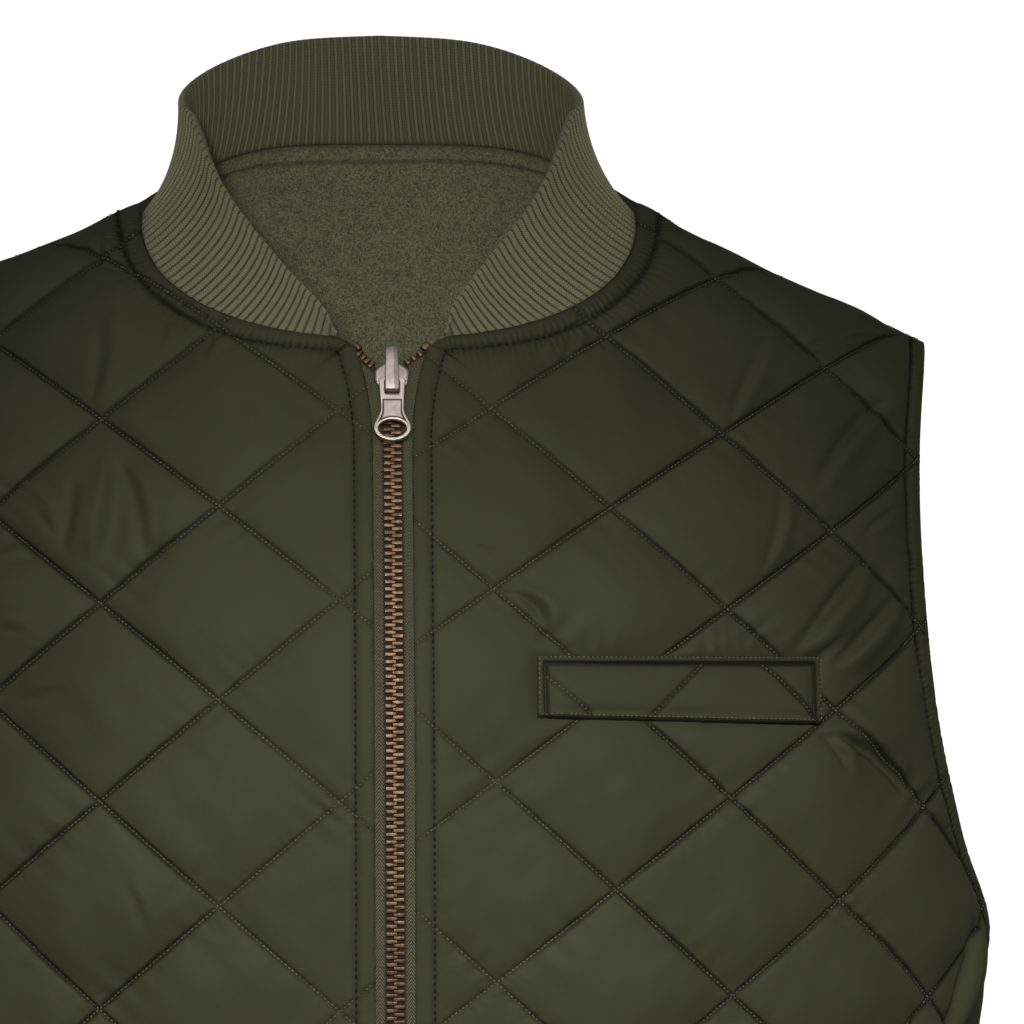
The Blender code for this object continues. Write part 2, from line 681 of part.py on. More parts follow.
def add_pull(frame):
    hinge = frame @ Matrix.Translation((0.0, HINGE_ALONG, HINGE_OUT))
    neck = math.acos(PULL_HALF / PULL_RING[0])
    ring = ellipse(PULL_RING, PULL_RING_DROP, neck, -math.pi - neck)
    outline = [(-PULL_HALF, PULL_TOP), (PULL_HALF, PULL_TOP), *ring]
    pull = add_object(
        "zip_pull", prism("zip_pull", outline, -PULL_WALL / 2, PULL_WALL / 2), "slider", hinge
    )
    window = mirrored(((PULL_WINDOW_HALF, PULL_WINDOW_TOP), (PULL_WINDOW_HALF, PULL_WINDOW_LOW)))
    combine(pull, "pull_window", prism("pull_window", window, -PULL_WALL, PULL_WALL), "DIFFERENCE")
    hole = ellipse(PULL_HOLE, PULL_HOLE_DROP, 0.0, 2 * math.pi)[:-1]
    combine(pull, "pull_hole", prism("pull_hole", hole, -PULL_WALL, PULL_WALL), "DIFFERENCE")
    return pull


def main():
    clear_scene()
    add_body()
    add_collar()
    add_welt()
    add_zip()
    frame = slider_frame()
    add_slider(frame)
    add_pull(frame)


main()
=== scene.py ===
"""Reversible quilted vest: cloth, rib knit, fleece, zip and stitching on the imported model's form."""

import math
from collections import namedtuple

import bmesh
import bpy
import numpy as np
from mathutils import Matrix, Vector


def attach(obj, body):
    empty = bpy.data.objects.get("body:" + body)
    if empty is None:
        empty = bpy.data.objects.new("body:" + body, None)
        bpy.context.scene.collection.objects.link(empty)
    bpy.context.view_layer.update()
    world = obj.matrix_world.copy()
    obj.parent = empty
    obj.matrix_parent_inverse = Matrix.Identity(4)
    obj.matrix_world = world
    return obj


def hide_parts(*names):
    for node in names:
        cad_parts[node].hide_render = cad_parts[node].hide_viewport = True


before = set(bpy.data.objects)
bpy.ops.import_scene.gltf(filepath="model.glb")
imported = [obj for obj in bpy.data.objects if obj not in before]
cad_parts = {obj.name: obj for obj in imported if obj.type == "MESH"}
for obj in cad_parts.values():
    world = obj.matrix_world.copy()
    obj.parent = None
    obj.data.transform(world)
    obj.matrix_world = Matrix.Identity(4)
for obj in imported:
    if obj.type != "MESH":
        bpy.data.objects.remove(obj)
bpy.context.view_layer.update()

bl_info = {
    "name": "Reversible quilted vest",
    "version": (1, 0, 0),
    "blender": (4, 5, 0),
    "location": "View3D > Sidebar > Vest",
    "description": "Builds the quilted shell, fleece, rib collar and zip of a vest on its packed solids",
    "category": "Object",
}

# Worn form, with the same sizes as the solids
HALF_WIDTH = 0.246
DEPTH = {"front": -0.142, "back": 0.12}
FACING = {"front": 1.0, "back": -1.0}
SECTION_POWER = 2.4
CHEST_LEVEL = -0.345
HEM_LEVEL = -0.675
HEM_TAPER = 0.03
UNDERARM_LEVEL = -0.318
UNDERARM_FLARE = 0.008
FLARE_LEVEL = -0.302
FLARE_SPAN = 0.026
FLARE_POWER = 10

# Shoulders and neck
SEAM_Y = 0.012
SEAM_LEVEL = -0.005
NECK_HALF = 0.104
NECK_ROUND = 0.07
SHOULDER_TIP = 0.2262
SHOULDER_SLOPE = {1: 0.49, -1: 0.43}
NECK_RISE = {"front": 0.0, "back": 0.07}
NECK_RISE_POWER = 1.2
BLADE_HALF = 0.1
BLADE_START = 0.015
BLADE_FULL = 0.11
NECKLINE_RISE = {"front": -0.05, "back": 0.028}
NECK_POWER = 2.3
BACK_NECK_POWER = 4
CORNER_DIP = 0.0045
CORNER_RUN = 0.01
FRONT_EDGE = 0.008
FRONT_EDGE_TOP = 0.0145
FRONT_EDGE_OPENING = 0.045

# Lean of the front and back from upright, in degrees, by the distance down the cloth from its seam
Lean = namedtuple("Lean", "along front back")
LEANS = (
    Lean(0.0, 90, 90), Lean(0.015, 72, 70), Lean(0.04, 48, 46), Lean(0.08, 37, 32),
    Lean(0.14, 32, 22), Lean(0.2, 27, 13), Lean(0.26, 21, 6), Lean(0.32, 13, 1),
    Lean(0.38, 4, 0), Lean(0.42, 0, 0),
)
LONGEST_CLOTH = 1.2
FORM_STEPS = 2000
PROBE = 0.0002

# Half width of the vest at the armhole edge, from the underarm up
Armhole = namedtuple("Armhole", "level half_width")
ARMHOLE = (
    Armhole(UNDERARM_LEVEL, HALF_WIDTH), Armhole(-0.313, 0.2453), Armhole(-0.303, 0.2444),
    Armhole(-0.285, 0.2424), Armhole(-0.258, 0.2372), Armhole(-0.215, 0.228),
    Armhole(-0.165, 0.2228), Armhole(-0.105, 0.2219),
)

# Collar above the neckline, by the share of its half length from the front end
Collar = namedtuple("Collar", "share height inset bend")
COLLAR = (
    Collar(0.0, 0.003, 0.002, 0.84), Collar(0.05, 0.0106, 0.0108, 0.84),
    Collar(0.12, 0.0181, 0.0197, 0.84), Collar(0.25, 0.0282, 0.0286, 0.88),
    Collar(0.38, 0.0346, 0.0282, 0.95), Collar(0.5, 0.0414, 0.02, 1.0),
    Collar(0.6, 0.039, 0.0107, 1.0), Collar(0.72, 0.0383, 0.0067, 1.0),
    Collar(0.86, 0.0415, 0.006, 1.0), Collar(1.0, 0.043, 0.0062, 1.0),
)
COLLAR_START = 0.021
COLLAR_BEND_HEIGHT = 0.44
COLLAR_SHIFT = -0.0029
COLLAR_SHIFT_RISE = 0.02
COLLAR_AXIS = np.array((0.0, -0.005, 0.0))
COLLAR_WALL = 0.004
RIB_STEPS = 8
LEAF_ROWS = 18
FOLD_ROWS = 7

# Layers, out from the form
SHELL_INNER = -0.0029
SHELL_FLOOR = -0.0026
LINING_OUTER = -0.0033
LINING_INNER = -0.0053

# Topstitching: distance from the edge, level of the edge, height of its roll, gathers, depth of the line
Edging = namedtuple("Edging", "width sink roll gather line")
EDGINGS = {
    "neck": Edging(0.0064, -0.0015, 0.002, 1.0, 0.0017),
    "zip": Edging(0.0078, -0.0004, 0.0007, 0.15, 0.0007),
    "armhole": Edging(0.01, -0.0017, 0.0014, 0.8, 0.0016),
    "hem": Edging(0.012, -0.0017, 0.001, 0.3, 0.0012),
}
EDGING_KINDS = tuple(EDGINGS)
SEAM_REACH = {"side": 0.009, "shoulder": 0.022}
SHOULDER_LEVELS = {1: -0.0016, -1: 0.0004}
NECK_SEAM_LEVEL = 0.003
SIDE_SEAM_LEVEL = -0.0012
SIDE_SEAM_SINK = 0.003
ZIP_TURN_LEVEL = -0.00105

# Quilting: where one crossing lies on each piece, the diamonds' size, the rows' tilt and the mesh's steps
Quilt = namedtuple("Quilt", "across up width height tilt steps")
QUILTS = {
    "shell_front_left": Quilt(0.138, -0.2375, 0.0975, 0.081, 0.08, 42),
    "shell_front_right": Quilt(-0.071, -0.1955, 0.0975, 0.0843, 0.0, 42),
    "shell_back": Quilt(0.0, -0.2, 0.0975, 0.083, 0.0, 24),
}
LINE_CROWDING = 0.48
QUILT_SPACING = 0.0638
QUILT_SIDE = 0.0644
HOLD_REACH = 0.016
ZIP_PUFF = 0.5
ZIP_PUFF_REACH = (0.02, 0.1)

# Unevenness of the cloths: wave length, height and seed of each layer of waves
Lumps = namedtuple("Lumps", "length height seed")
SHELL_LUMPS = (Lumps(0.05, 0.0005, 11), Lumps(0.021, 0.0002, 12))
FLEECE_LUMPS = (Lumps(0.032, 0.0004, 61), Lumps(0.085, 0.0007, 62))
FLAP_LUMPS = (Lumps(0.022, 0.00025, 71),)

# Gathers beside sewn lines: their spacing, reach, height and seed
Gathers = namedtuple("Gathers", "pitch reach height seed")
QUILT_GATHERS = Gathers(0.0105, 0.0085, 0.00042, 21)
EDGE_GATHERS = Gathers(0.0075, 0.008, 0.00022, 31)
ROLL_GATHERS = Gathers(0.0042, 0.006, 0.00032, 41)
WELT_GATHERS = Gathers(0.0068, 0.0065, 0.0008, 51)

# Stitches: shares of a stitch's pitch and of the thread, and how far they stand out
QUILT_STITCH = 0.62
EDGE_STITCH = 0.66
EDGE_THREAD = 1.5
FLAP_STITCH = 0.6
THREAD_FLATNESS = 0.8
STITCH_UNEVENNESS = 0.12
REPEAT_SEED = 7
STITCH_LIFT = 0.00025
FLAP_STITCH_LIFT = 0.0002

# Pocket welt on the wearer's left front, measured on the cut piece
WELT_LEFT = 0.0575
WELT_RIGHT = 0.1791
WELT_TOP = -0.1775
WELT_LOW_LEFT = -0.2037
WELT_LOW_RIGHT = -0.2072
WELT_SEAT = -0.0014
FLAP_LEVEL = -0.0004
WELT_BORDER = 0.0034
WELT_LINES = (
    ((0.061, -0.1861), (0.079, -0.2021)), ((0.1259, -0.1811), (0.1033, -0.2039)),
    ((0.1517, -0.1811), (0.1747, -0.2036)),
)

# Creases listed one by one, in millimetres on the cut piece, with a depth below zero for a ridge
Crease = namedtuple("Crease", "across up to_across to_up bow width depth")
CREASES = {
    "shell_front_left": (
        Crease(164, -98, 153, -140, 2, 2.2, 1.9), Crease(162, -23, 141, -70, -2, 3.0, 1.8),
        Crease(217, -54, 179, -99, -4, 3.4, 3.0), Crease(220, -108, 203, -120, 0, 2.0, 1.4),
        Crease(203, -133, 166, -177, -1, 3.6, 4.4), Crease(219, -150, 185, -182, 0, 3.6, 4.0),
        Crease(178, -178, 189, -170, 0, 1.8, 2.4), Crease(178, -211, 191, -229, 2, 2.8, 3.0),
        Crease(180, -211, 222, -239, 5, 3.6, 4.2), Crease(266, -296, 246, -346, 4, 5.0, 4.6),
        Crease(65, -28, 60, -44, 0, 1.8, 1.4), Crease(77, -27, 71, -46, 0, 2.0, 1.7),
        Crease(86, -31, 89, -39, 0, 1.4, 1.0), Crease(100, 5, 103, -8, 0, 1.6, 1.0),
        Crease(189, -24, 221, -12, 1, 2.0, -1.4), Crease(157, 12, 167, 13, 0, 1.8, -1.2),
        Crease(178, -31, 185, -24, 0, 1.4, 1.2), Crease(180, -108, 182, -116, 0, 1.4, 1.0),
        Crease(31, -130, 43, -135, 0, 1.6, 1.0), Crease(45, -150, 59, -175, 8, 2.8, 2.2),
        Crease(213, -90, 227, -94, 0, 1.6, 1.0), Crease(120, -330, 155, -372, 4, 3.4, 1.9),
        Crease(225, -385, 262, -420, -4, 3.4, 2.0), Crease(60, -470, 88, -515, 3, 3.0, 1.5),
        Crease(200, -530, 238, -505, 3, 3.0, 1.7), Crease(110, -610, 136, -640, 2, 2.6, 1.5),
    ),
    "shell_front_right": (
        Crease(-120, 39, -122, 9, 0, 2.4, 1.4), Crease(-120, -17, -124, -62, 2, 3.0, 1.7),
        Crease(-93, -24, -94, -34, 0, 1.5, 1.4), Crease(-74, -31, -76, -44, 0, 1.7, 1.5),
        Crease(-152, -98, -135, -118, 2, 2.4, -1.7), Crease(-146, -112, -138, -124, 0, 1.8, 1.4),
        Crease(-163, -135, -148, -133, 0, 1.8, 1.4), Crease(-162, -165, -150, -166, 0, 1.8, 1.2),
        Crease(-117, -90, -123, -136, 1, 4.6, -3.4), Crease(-130, -98, -135, -132, 1, 3.6, 3.0),
        Crease(-110, -92, -101, -132, 2, 3.6, 2.8), Crease(-62, -66, -59, -80, 0, 1.8, 1.2),
        Crease(-153, -196, -132, -191, 0, 2.2, 1.5), Crease(-136, -282, -153, -303, 1, 2.4, 1.5),
        Crease(-107, -270, -99, -290, 0, 2.0, 1.4), Crease(-214, -60, -180, -104, 4, 3.0, 2.0),
        Crease(-221, -150, -192, -176, 2, 2.6, 1.7), Crease(-236, -262, -208, -296, -3, 3.0, 1.9),
        Crease(-180, -360, -214, -398, 4, 3.4, 2.0), Crease(-72, -440, -98, -476, 3, 2.8, 1.5),
        Crease(-230, -500, -196, -540, 3, 3.2, 1.7), Crease(-120, -590, -142, -628, 2, 2.6, 1.5),
    ),
    "shell_back": (
        Crease(-205, -50, -168, -98, 4, 3.2, 2.2), Crease(208, -56, 172, -112, -4, 3.2, 2.2),
        Crease(-60, 8, -70, -22, 1, 2.4, 1.5), Crease(48, 12, 52, -20, 1, 2.4, 1.5),
        Crease(215, -180, 176, -226, 2, 3.0, 2.0), Crease(-218, -172, -184, -214, 2, 3.0, 1.9),
        Crease(-100, -270, -72, -318, 4, 3.0, 1.7), Crease(90, -350, 124, -392, 3, 3.2, 1.9),
        Crease(-210, -400, -172, -438, 4, 3.4, 2.0), Crease(215, -430, 186, -478, 3, 3.2, 1.9),
        Crease(-30, -480, 4, -512, 2, 2.8, 1.5), Crease(80, -570, 112, -612, 3, 3.0, 1.7),
        Crease(-130, -600, -104, -636, 2, 2.8, 1.5),
    ),
}

# Zip, from the vest's centre line and out from the form
TAPE_DEPTH = -0.0015
TAPE_WALL = 0.0008
TAPE_INNER = 0.0009
TAPE_UNDER = 0.0036
TAPE_TOP_GAP = 0.0012
TOOTH_PITCH = 0.00308
TOOTH_REACH = (-0.0008, 0.0037)
TOOTH_SIZE = (0.0045, 0.00165, 0.0024)
TOOTH_HEAD = (0.88, 0.86)
TOOTH_BEVEL = 0.00026
TOOTH_PROBE = 0.0003
CHAIN_TOP = -0.06
SLIDER_UP = -0.0573

# Teeth above the slider: distance of each row from the centre line, and places of its teeth
Split = namedtuple("Split", "up away")
ROW_SPLITS = {
    1: (
        Split(-0.07, 0.0), Split(-0.0585, 0.0), Split(-0.052, 0.001), Split(-0.0483, 0.0029),
        Split(-0.044, 0.0085), Split(-0.0403, 0.0135),
    ),
    -1: (
        Split(-0.07, 0.0), Split(-0.0585, 0.0), Split(-0.05, 0.005), Split(-0.0476, 0.0076),
        Split(-0.044, 0.0106), Split(-0.04, 0.014),
    ),
}
SPLIT_TOOTH = 0.66
SPLIT_TEETH = {1: (-0.0422, -0.0441, -0.0459, -0.0478), -1: (-0.042, -0.0439, -0.0457, -0.0475)}

# Metal parts of the zip
BOX_HEIGHT = 0.012
BOX_DEPTH = 0.0044
STOP_UP = -0.0394
STOP_ASIDE = 0.014
STOP_LEAN = math.radians(-46)
CHAIN_HALF = 0.00365
HINGE_ALONG = -0.0005
HINGE_OUT = 0.004
PULL_REACH = 0.0018
PULL_HALF = 0.0055
PULL_WAIST = 0.00075
PULL_WAIST_DOWN = 0.0135
SLIDER_GAP = 0.00155

# Camera of the photograph, which is 1024 pixels wide and high
CAMERA_AIM = Vector((0.0515, 0.0, -0.1315))
CAMERA_TURN = math.radians(-2.0)
CAMERA_RISE = math.radians(4.0)
CAMERA_DISTANCE = 2.8
CAMERA_LENS = 234.7
FLOOR_LEVEL = -0.8
FLOOR_RADIUS = 1.5
BACKDROP = 1.02
AMBIENT = 0.07

MILLIMETRE = 0.001
CLOTH_SNAP = 0.00015
METAL_SNAP = 0.0000015
X_AXIS = Vector((1.0, 0.0, 0.0))


# What a user may change


def length_setting(name, default, least, description):
    return bpy.props.FloatProperty(
        name=name, description=description, default=default, min=least, unit="LENGTH"
    )


def colour_setting(name, default, description):
    return bpy.props.FloatVectorProperty(
        name=name, description=description, default=default, subtype="COLOR", size=3
    )


class VestSizes(bpy.types.PropertyGroup):
    """Sizes of the quilting, knit and stitches"""

    puff: length_setting("Puff", 0.0051, 0.0, "Height of the padding between the quilting lines")
    sew_depth: length_setting("Sewn depth", 0.0019, 0.0, "How far the stitches pull the shell in")
    quilt_pitch: length_setting("Quilt stitch", 0.0019, 0.001, "Length of one quilting stitch and its gap")
    edge_pitch: length_setting("Edge stitch", 0.0029, 0.001, "Length of one topstitch and its gap")
    thread: length_setting("Thread", 0.00052, 0.0001, "Thickness of the sewing thread")
    rib_pitch: length_setting("Rib", 0.0037, 0.001, "Width of one rib of the collar")
    rib_depth: length_setting("Rib depth", 0.0008, 0.0, "Depth of the valley between two ribs")


class VestColours(bpy.types.PropertyGroup):
    """Colours of the cloths and metals"""

    shell: colour_setting("Shell", (0.0455, 0.0478, 0.0262), "Nylon of the quilted side")
    fleece: colour_setting("Fleece", (0.19, 0.1995, 0.107), "Fleece of the reverse side")
    rib: colour_setting("Rib", (0.225, 0.232, 0.124), "Yarn of the collar")
    tape: colour_setting("Tape", (0.114, 0.111, 0.06), "Woven tape of the zip")
    thread: colour_setting("Thread", (0.19, 0.183, 0.109), "Sewing thread")
    teeth: colour_setting("Teeth", (0.175, 0.106, 0.062), "Antique brass of the zip teeth")
    slider: colour_setting("Slider", (0.47, 0.396, 0.362), "Antique metal of the slider and pull")


# Worn form


def running_total(steps):
    """Sum of the steps so far, from zero."""
    return np.concatenate([[0.0], np.cumsum(steps)])


def section_curve(face):
    """Chest section from the centre line to the side: distance round it, x and y."""
    angle = np.linspace(0.0, math.pi / 2, FORM_STEPS)
    x = HALF_WIDTH * np.sin(angle) ** (2 / SECTION_POWER)
    y = DEPTH[face] * np.cos(angle) ** (2 / SECTION_POWER)
    return running_total(np.hypot(np.diff(x), np.diff(y))), x, y


def lean_curve(face):
    """Fall of the cloth from the shoulder seam: distance along it, drop and reach."""
    along = np.linspace(0.0, LONGEST_CLOTH, FORM_STEPS)
    leans = np.interp(along, [row.along for row in LEANS], [getattr(row, face) for row in LEANS])
    angle = np.radians(leans)
    middle = (angle[1:] + angle[:-1]) / 2
    step = along[1]
    return along, running_total(np.cos(middle)) * step, running_total(np.sin(middle)) * step


SECTIONS = {face: section_curve(face) for face in DEPTH}
FALLS = {face: lean_curve(face) for face in DEPTH}
SIDE_ACROSS = {face: SECTIONS[face][0][-1] for face in DEPTH}


def seam_height(x):
    """Height of the shoulder seams' own line at x, rounded off across the neck."""
    lopsided = np.clip(x / NECK_HALF, -1.0, 1.0)
    slope = (SHOULDER_SLOPE[1] * (1 + lopsided) + SHOULDER_SLOPE[-1] * (1 - lopsided)) / 2
    return SEAM_LEVEL - slope * (np.hypot(x, NECK_ROUND) - math.hypot(NECK_HALF, NECK_ROUND))


def ridge_height(face, x):
    """Height that the cloth falls from at x: the shoulder seam, and a higher line across the neck."""
    inside = np.minimum(np.abs(x) / NECK_HALF, 1.0)
    return seam_height(x) + NECK_RISE[face] * (1 - inside ** 3) ** NECK_RISE_POWER


def reach_share(face, ridge, z):
    """Share of the way from the shoulder seam to the chest, front to back, at height z."""
    _, drop, reach = FALLS[face]
    chest_reach = np.interp(ridge - CHEST_LEVEL, drop, reach)
    return np.interp(ridge - z, drop, reach) / chest_reach


def drape(face, across, up):
    """Point of the worn form at a place of the cut piece."""
    across, up = np.broadcast_arrays(np.asarray(across, float), np.asarray(up, float))
    around, section_x, section_y = SECTIONS[face]
    along, drop, _ = FALLS[face]
    x = np.sign(across) * np.interp(np.abs(across), around, section_x)
    depth = np.interp(np.abs(across), around, section_y)
    ridge = ridge_height(face, x)
    chest_along = np.interp(ridge - CHEST_LEVEL, drop, along)
    from_seam = np.maximum(chest_along - (up - CHEST_LEVEL), 0.0)
    z = ridge - np.interp(from_seam, along, drop)
    blade_ridge = seam_height(x) + NECK_RISE[face] * hump(x, 0.0, BLADE_HALF)
    blade = soft_step(from_seam, BLADE_START, BLADE_FULL)
    share = (1 - blade) * reach_share(face, ridge, z) + blade * reach_share(face, blade_ridge, z)
    y = SEAM_Y + (depth - SEAM_Y) * share
    near_side = (np.abs(x) / HALF_WIDTH) ** FLARE_POWER
    flare = UNDERARM_FLARE * hump(z, FLARE_LEVEL, FLARE_SPAN) * near_side
    below = np.clip((CHEST_LEVEL - up) / (CHEST_LEVEL - HEM_LEVEL), 0.0, 1.0)
    taper = 1 - HEM_TAPER * below
    return np.stack([(x + np.sign(x) * flare) * taper, y * taper, z], axis=-1)


def cut_place(face, x, z):
    """Place on the cut piece of the point that is seen at x and z from the front or back."""
    x, z = np.broadcast_arrays(np.asarray(x, float), np.asarray(z, float))
    around, section_x, _ = SECTIONS[face]
    along, drop, _ = FALLS[face]
    ridge = ridge_height(face, x)
    chest_along = np.interp(ridge - CHEST_LEVEL, drop, along)
    from_seam = np.interp(ridge - z, drop, along)
    across = np.sign(x) * np.interp(np.abs(x), section_x, around)
    return np.stack([across, CHEST_LEVEL + chest_along - from_seam], axis=-1)


def unit(vectors):
    return vectors / np.maximum(np.linalg.norm(vectors, axis=-1, keepdims=True), 1e-12)


def outward(face, across, up):
    """Unit normal of the worn form, pointing out of the vest."""
    right = drape(face, across + PROBE, up) - drape(face, across - PROBE, up)
    above = drape(face, across, up + PROBE) - drape(face, across, up - PROBE)
    return unit(np.cross(right, above) * FACING[face])


def raised(face, places, height):
    """Points at a height out from the worn form."""
    return drape(face, *places.T) + outward(face, *places.T) * np.asarray(height)[..., None]


def soft_step(value, low, high):
    """0 below low, 1 above high and smooth between them."""
    share = np.clip((value - low) / (high - low), 0.0, 1.0)
    return share * share * (3 - 2 * share)


def gentle_climb(steps):
    """Steps from 0 to 1 that are closer together at both ends."""
    even = np.linspace(0.0, 1.0, steps + 1)
    return (even + soft_step(even, 0.0, 1.0)) / 2


def hump(value, middle, width):
    """1 at middle, falling off to both sides over width."""
    return np.exp(-(((value - middle) / width) ** 2))


def smooth_rows(value, rows):
    """Smooth curve through the rows of a table, read at value: every column after the first."""
    table = np.array(rows, dtype=float)
    keys, columns = table[:, 0], table[:, 1:]
    slopes = np.gradient(columns, keys, axis=0)
    value = np.asarray(value, float)
    low = np.clip(np.searchsorted(keys, value) - 1, 0, len(keys) - 2)
    span = (keys[low + 1] - keys[low])[..., None]
    u = ((value - keys[low])[..., None]) / span
    rise = u * u * (3 - 2 * u)
    bend = u * (1 - u)
    ends = columns[low] * (1 - rise) + columns[low + 1] * rise
    return ends + span * bend * ((1 - u) * slopes[low] - u * slopes[low + 1])


# Edges of the cut pieces


def neck_edge(face, side, steps):
    """Neckline from the centre to the shoulder."""
    middle = math.acos((FRONT_EDGE_TOP / NECK_HALF) ** (NECK_POWER / 2)) if face == "front" else math.pi / 2
    angle = np.linspace(middle, 0.0, steps + 1)
    x = NECK_HALF * np.cos(angle) ** (2 / NECK_POWER)
    if face == "back":
        z = SEAM_LEVEL + NECKLINE_RISE[face] * (1 - (x / NECK_HALF) ** BACK_NECK_POWER)
    else:
        corner = np.clip(1 - (x - FRONT_EDGE_TOP) / CORNER_RUN, 0.0, 1.0)
        z = SEAM_LEVEL + NECKLINE_RISE[face] * np.sin(angle) ** (2 / NECK_POWER) - CORNER_DIP * corner ** 2
    return cut_place(face, side * x, z)


def shoulder_edge(face, side, steps):
    """Shoulder seam from the neck to its tip."""
    x = side * np.linspace(NECK_HALF, SHOULDER_TIP, steps + 1)
    return cut_place(face, x, ridge_height(face, x))


def side_edge(face, side, steps):
    """Side seam from the hem to the underarm."""
    up = np.linspace(HEM_LEVEL, UNDERARM_LEVEL, steps + 1)
    return np.stack([np.full_like(up, side * SIDE_ACROSS[face]), up], axis=-1)


def armhole_edge(face, side, steps):
    """Armhole from the underarm to the shoulder tip."""
    tip = float(ridge_height(face, np.array(side * SHOULDER_TIP)))
    level = UNDERARM_LEVEL + (tip - UNDERARM_LEVEL) * gentle_climb(steps)
    half_width = smooth_rows(level, (*ARMHOLE, Armhole(tip, SHOULDER_TIP)))[:, 0]
    reach = (SIDE_ACROSS[face], np.inf)
    return np.clip(cut_place(face, side * half_width, level), np.negative(reach), reach)


def front_edge(up, top):
    """Distance of a front's zip edge from the centre line, opening towards the neck."""
    opening = np.clip((up - (top - FRONT_EDGE_OPENING)) / FRONT_EDGE_OPENING, 0.0, 1.0)
    return FRONT_EDGE + (FRONT_EDGE_TOP - FRONT_EDGE) * opening ** 2


def zip_edge(side, steps):
    """Zip edge of a front from the hem up to the neckline."""
    top = neck_edge("front", side, 2)[0]
    climb = 1 - (1 - np.linspace(0.0, 1.0, steps + 1)) ** 2
    up = HEM_LEVEL + (top[1] - HEM_LEVEL) * climb
    return np.stack([side * front_edge(up, top[1]), up], axis=-1)


def half_edges(face, side):
    """Edges of one half of a cut piece, from the hem round to the centre of the neck."""
    return [
        ("side", side_edge(face, side, 1)), ("armhole", armhole_edge(face, side, 60)),
        ("shoulder", shoulder_edge(face, side, 24)[::-1]), ("neck", neck_edge(face, side, 40)[::-1]),
    ]


def panel_edges(face, side):
    """Outline of a cut piece as named lines, in order round it."""
    if face == "front":
        edges = [*half_edges(face, side), ("zip", zip_edge(side, 40)[::-1])]
    else:
        mirrored = [(kind, line[::-1]) for kind, line in reversed(half_edges(face, -1))]
        edges = half_edges(face, 1) + mirrored
    return [("hem", np.stack([edges[-1][1][-1], edges[0][1][0]])), *edges]


# Distances, unevenness and cutting


def line_distance(places, line):
    """Distance of each place from a line of points, and the length along the line to its nearest point."""
    nearest = np.full(len(places), np.inf)
    along = np.zeros(len(places))
    passed = 0.0
    for start, end in zip(line[:-1], line[1:]):
        step = end - start
        length = math.hypot(*step)
        share = np.clip((places - start) @ step / length ** 2, 0.0, 1.0)
        far = np.hypot(*(places - start - share[:, None] * step).T)
        closer = far < nearest
        nearest[closer] = far[closer]
        along[closer] = passed + share[closer] * length
        passed += length
    return nearest, along


def edge_distance(places, edges, kind=None):
    """Distance from the nearest edge of a cut piece, or from the nearest of one kind."""
    lines = [line for edge_kind, line in edges if kind in (None, edge_kind)]
    return np.min([line_distance(places, line)[0] for line in lines], axis=0)


def inside_outline(places, outline):
    """Whether each place lies inside a closed outline."""
    crossings = np.zeros(len(places), dtype=int)
    for (x0, y0), (x1, y1) in zip(outline, np.roll(outline, -1, axis=0)):
        if y0 == y1:
            continue
        spans = (places[:, 1] > min(y0, y1)) & (places[:, 1] <= max(y0, y1))
        crossings += spans & (places[:, 0] < x0 + (places[:, 1] - y0) / (y1 - y0) * (x1 - x0))
    return crossings % 2 == 1


def outline_level(places, outline):
    """Distance from a closed outline, below zero inside it."""
    far, _ = line_distance(places, np.concatenate([outline, outline[:1]]))
    return np.where(inside_outline(places, outline), -far, far)


def waves(places, length, seed, count=7):
    """Smooth unevenness of about the given wave length, around zero."""
    chance = np.random.default_rng(seed)
    total = np.zeros(len(places))
    for _ in range(count):
        turn = chance.uniform(0.0, math.pi)
        number = math.tau / (length * chance.uniform(0.7, 1.5))
        phase = chance.uniform(0.0, math.tau)
        total += np.cos((places @ (math.cos(turn), math.sin(turn))) * number + phase)
    return total / math.sqrt(count)


def track_waves(along, length, seed, count=5):
    """Smooth unevenness along a line."""
    chance = np.random.default_rng(seed)
    total = np.zeros(len(along))
    for _ in range(count):
        number = math.tau / (length * chance.uniform(0.6, 1.6))
        total += np.cos(along * number + chance.uniform(0.0, math.tau))
    return total / math.sqrt(count)


def lumps(places, layers):
    """Height of a cloth's unevenness, summed over its layers of waves."""
    return sum(layer.height * waves(places, layer.length, layer.seed) for layer in layers)


def gathers(along, away, kind, family=0):
    """Height of short uneven gathers beside a line of stitches, fading with the distance from it."""
    seed = kind.seed + family
    strength = np.clip(0.55 + 0.75 * track_waves(along, 8 * kind.pitch, seed), 0.0, 1.5)
    drift = 2.4 * track_waves(along, 5 * kind.pitch, seed + 1)
    wave = np.cos(math.tau * along / kind.pitch + drift)
    return kind.height * strength * wave * np.exp(-away / kind.reach)


def chance_of(first, second):
    """Number between 0 and 1 that is fixed for each pair of whole numbers."""
    return np.mod(np.sin(first * 12.9898 + second * 78.233) * 43758.5453, 1.0)


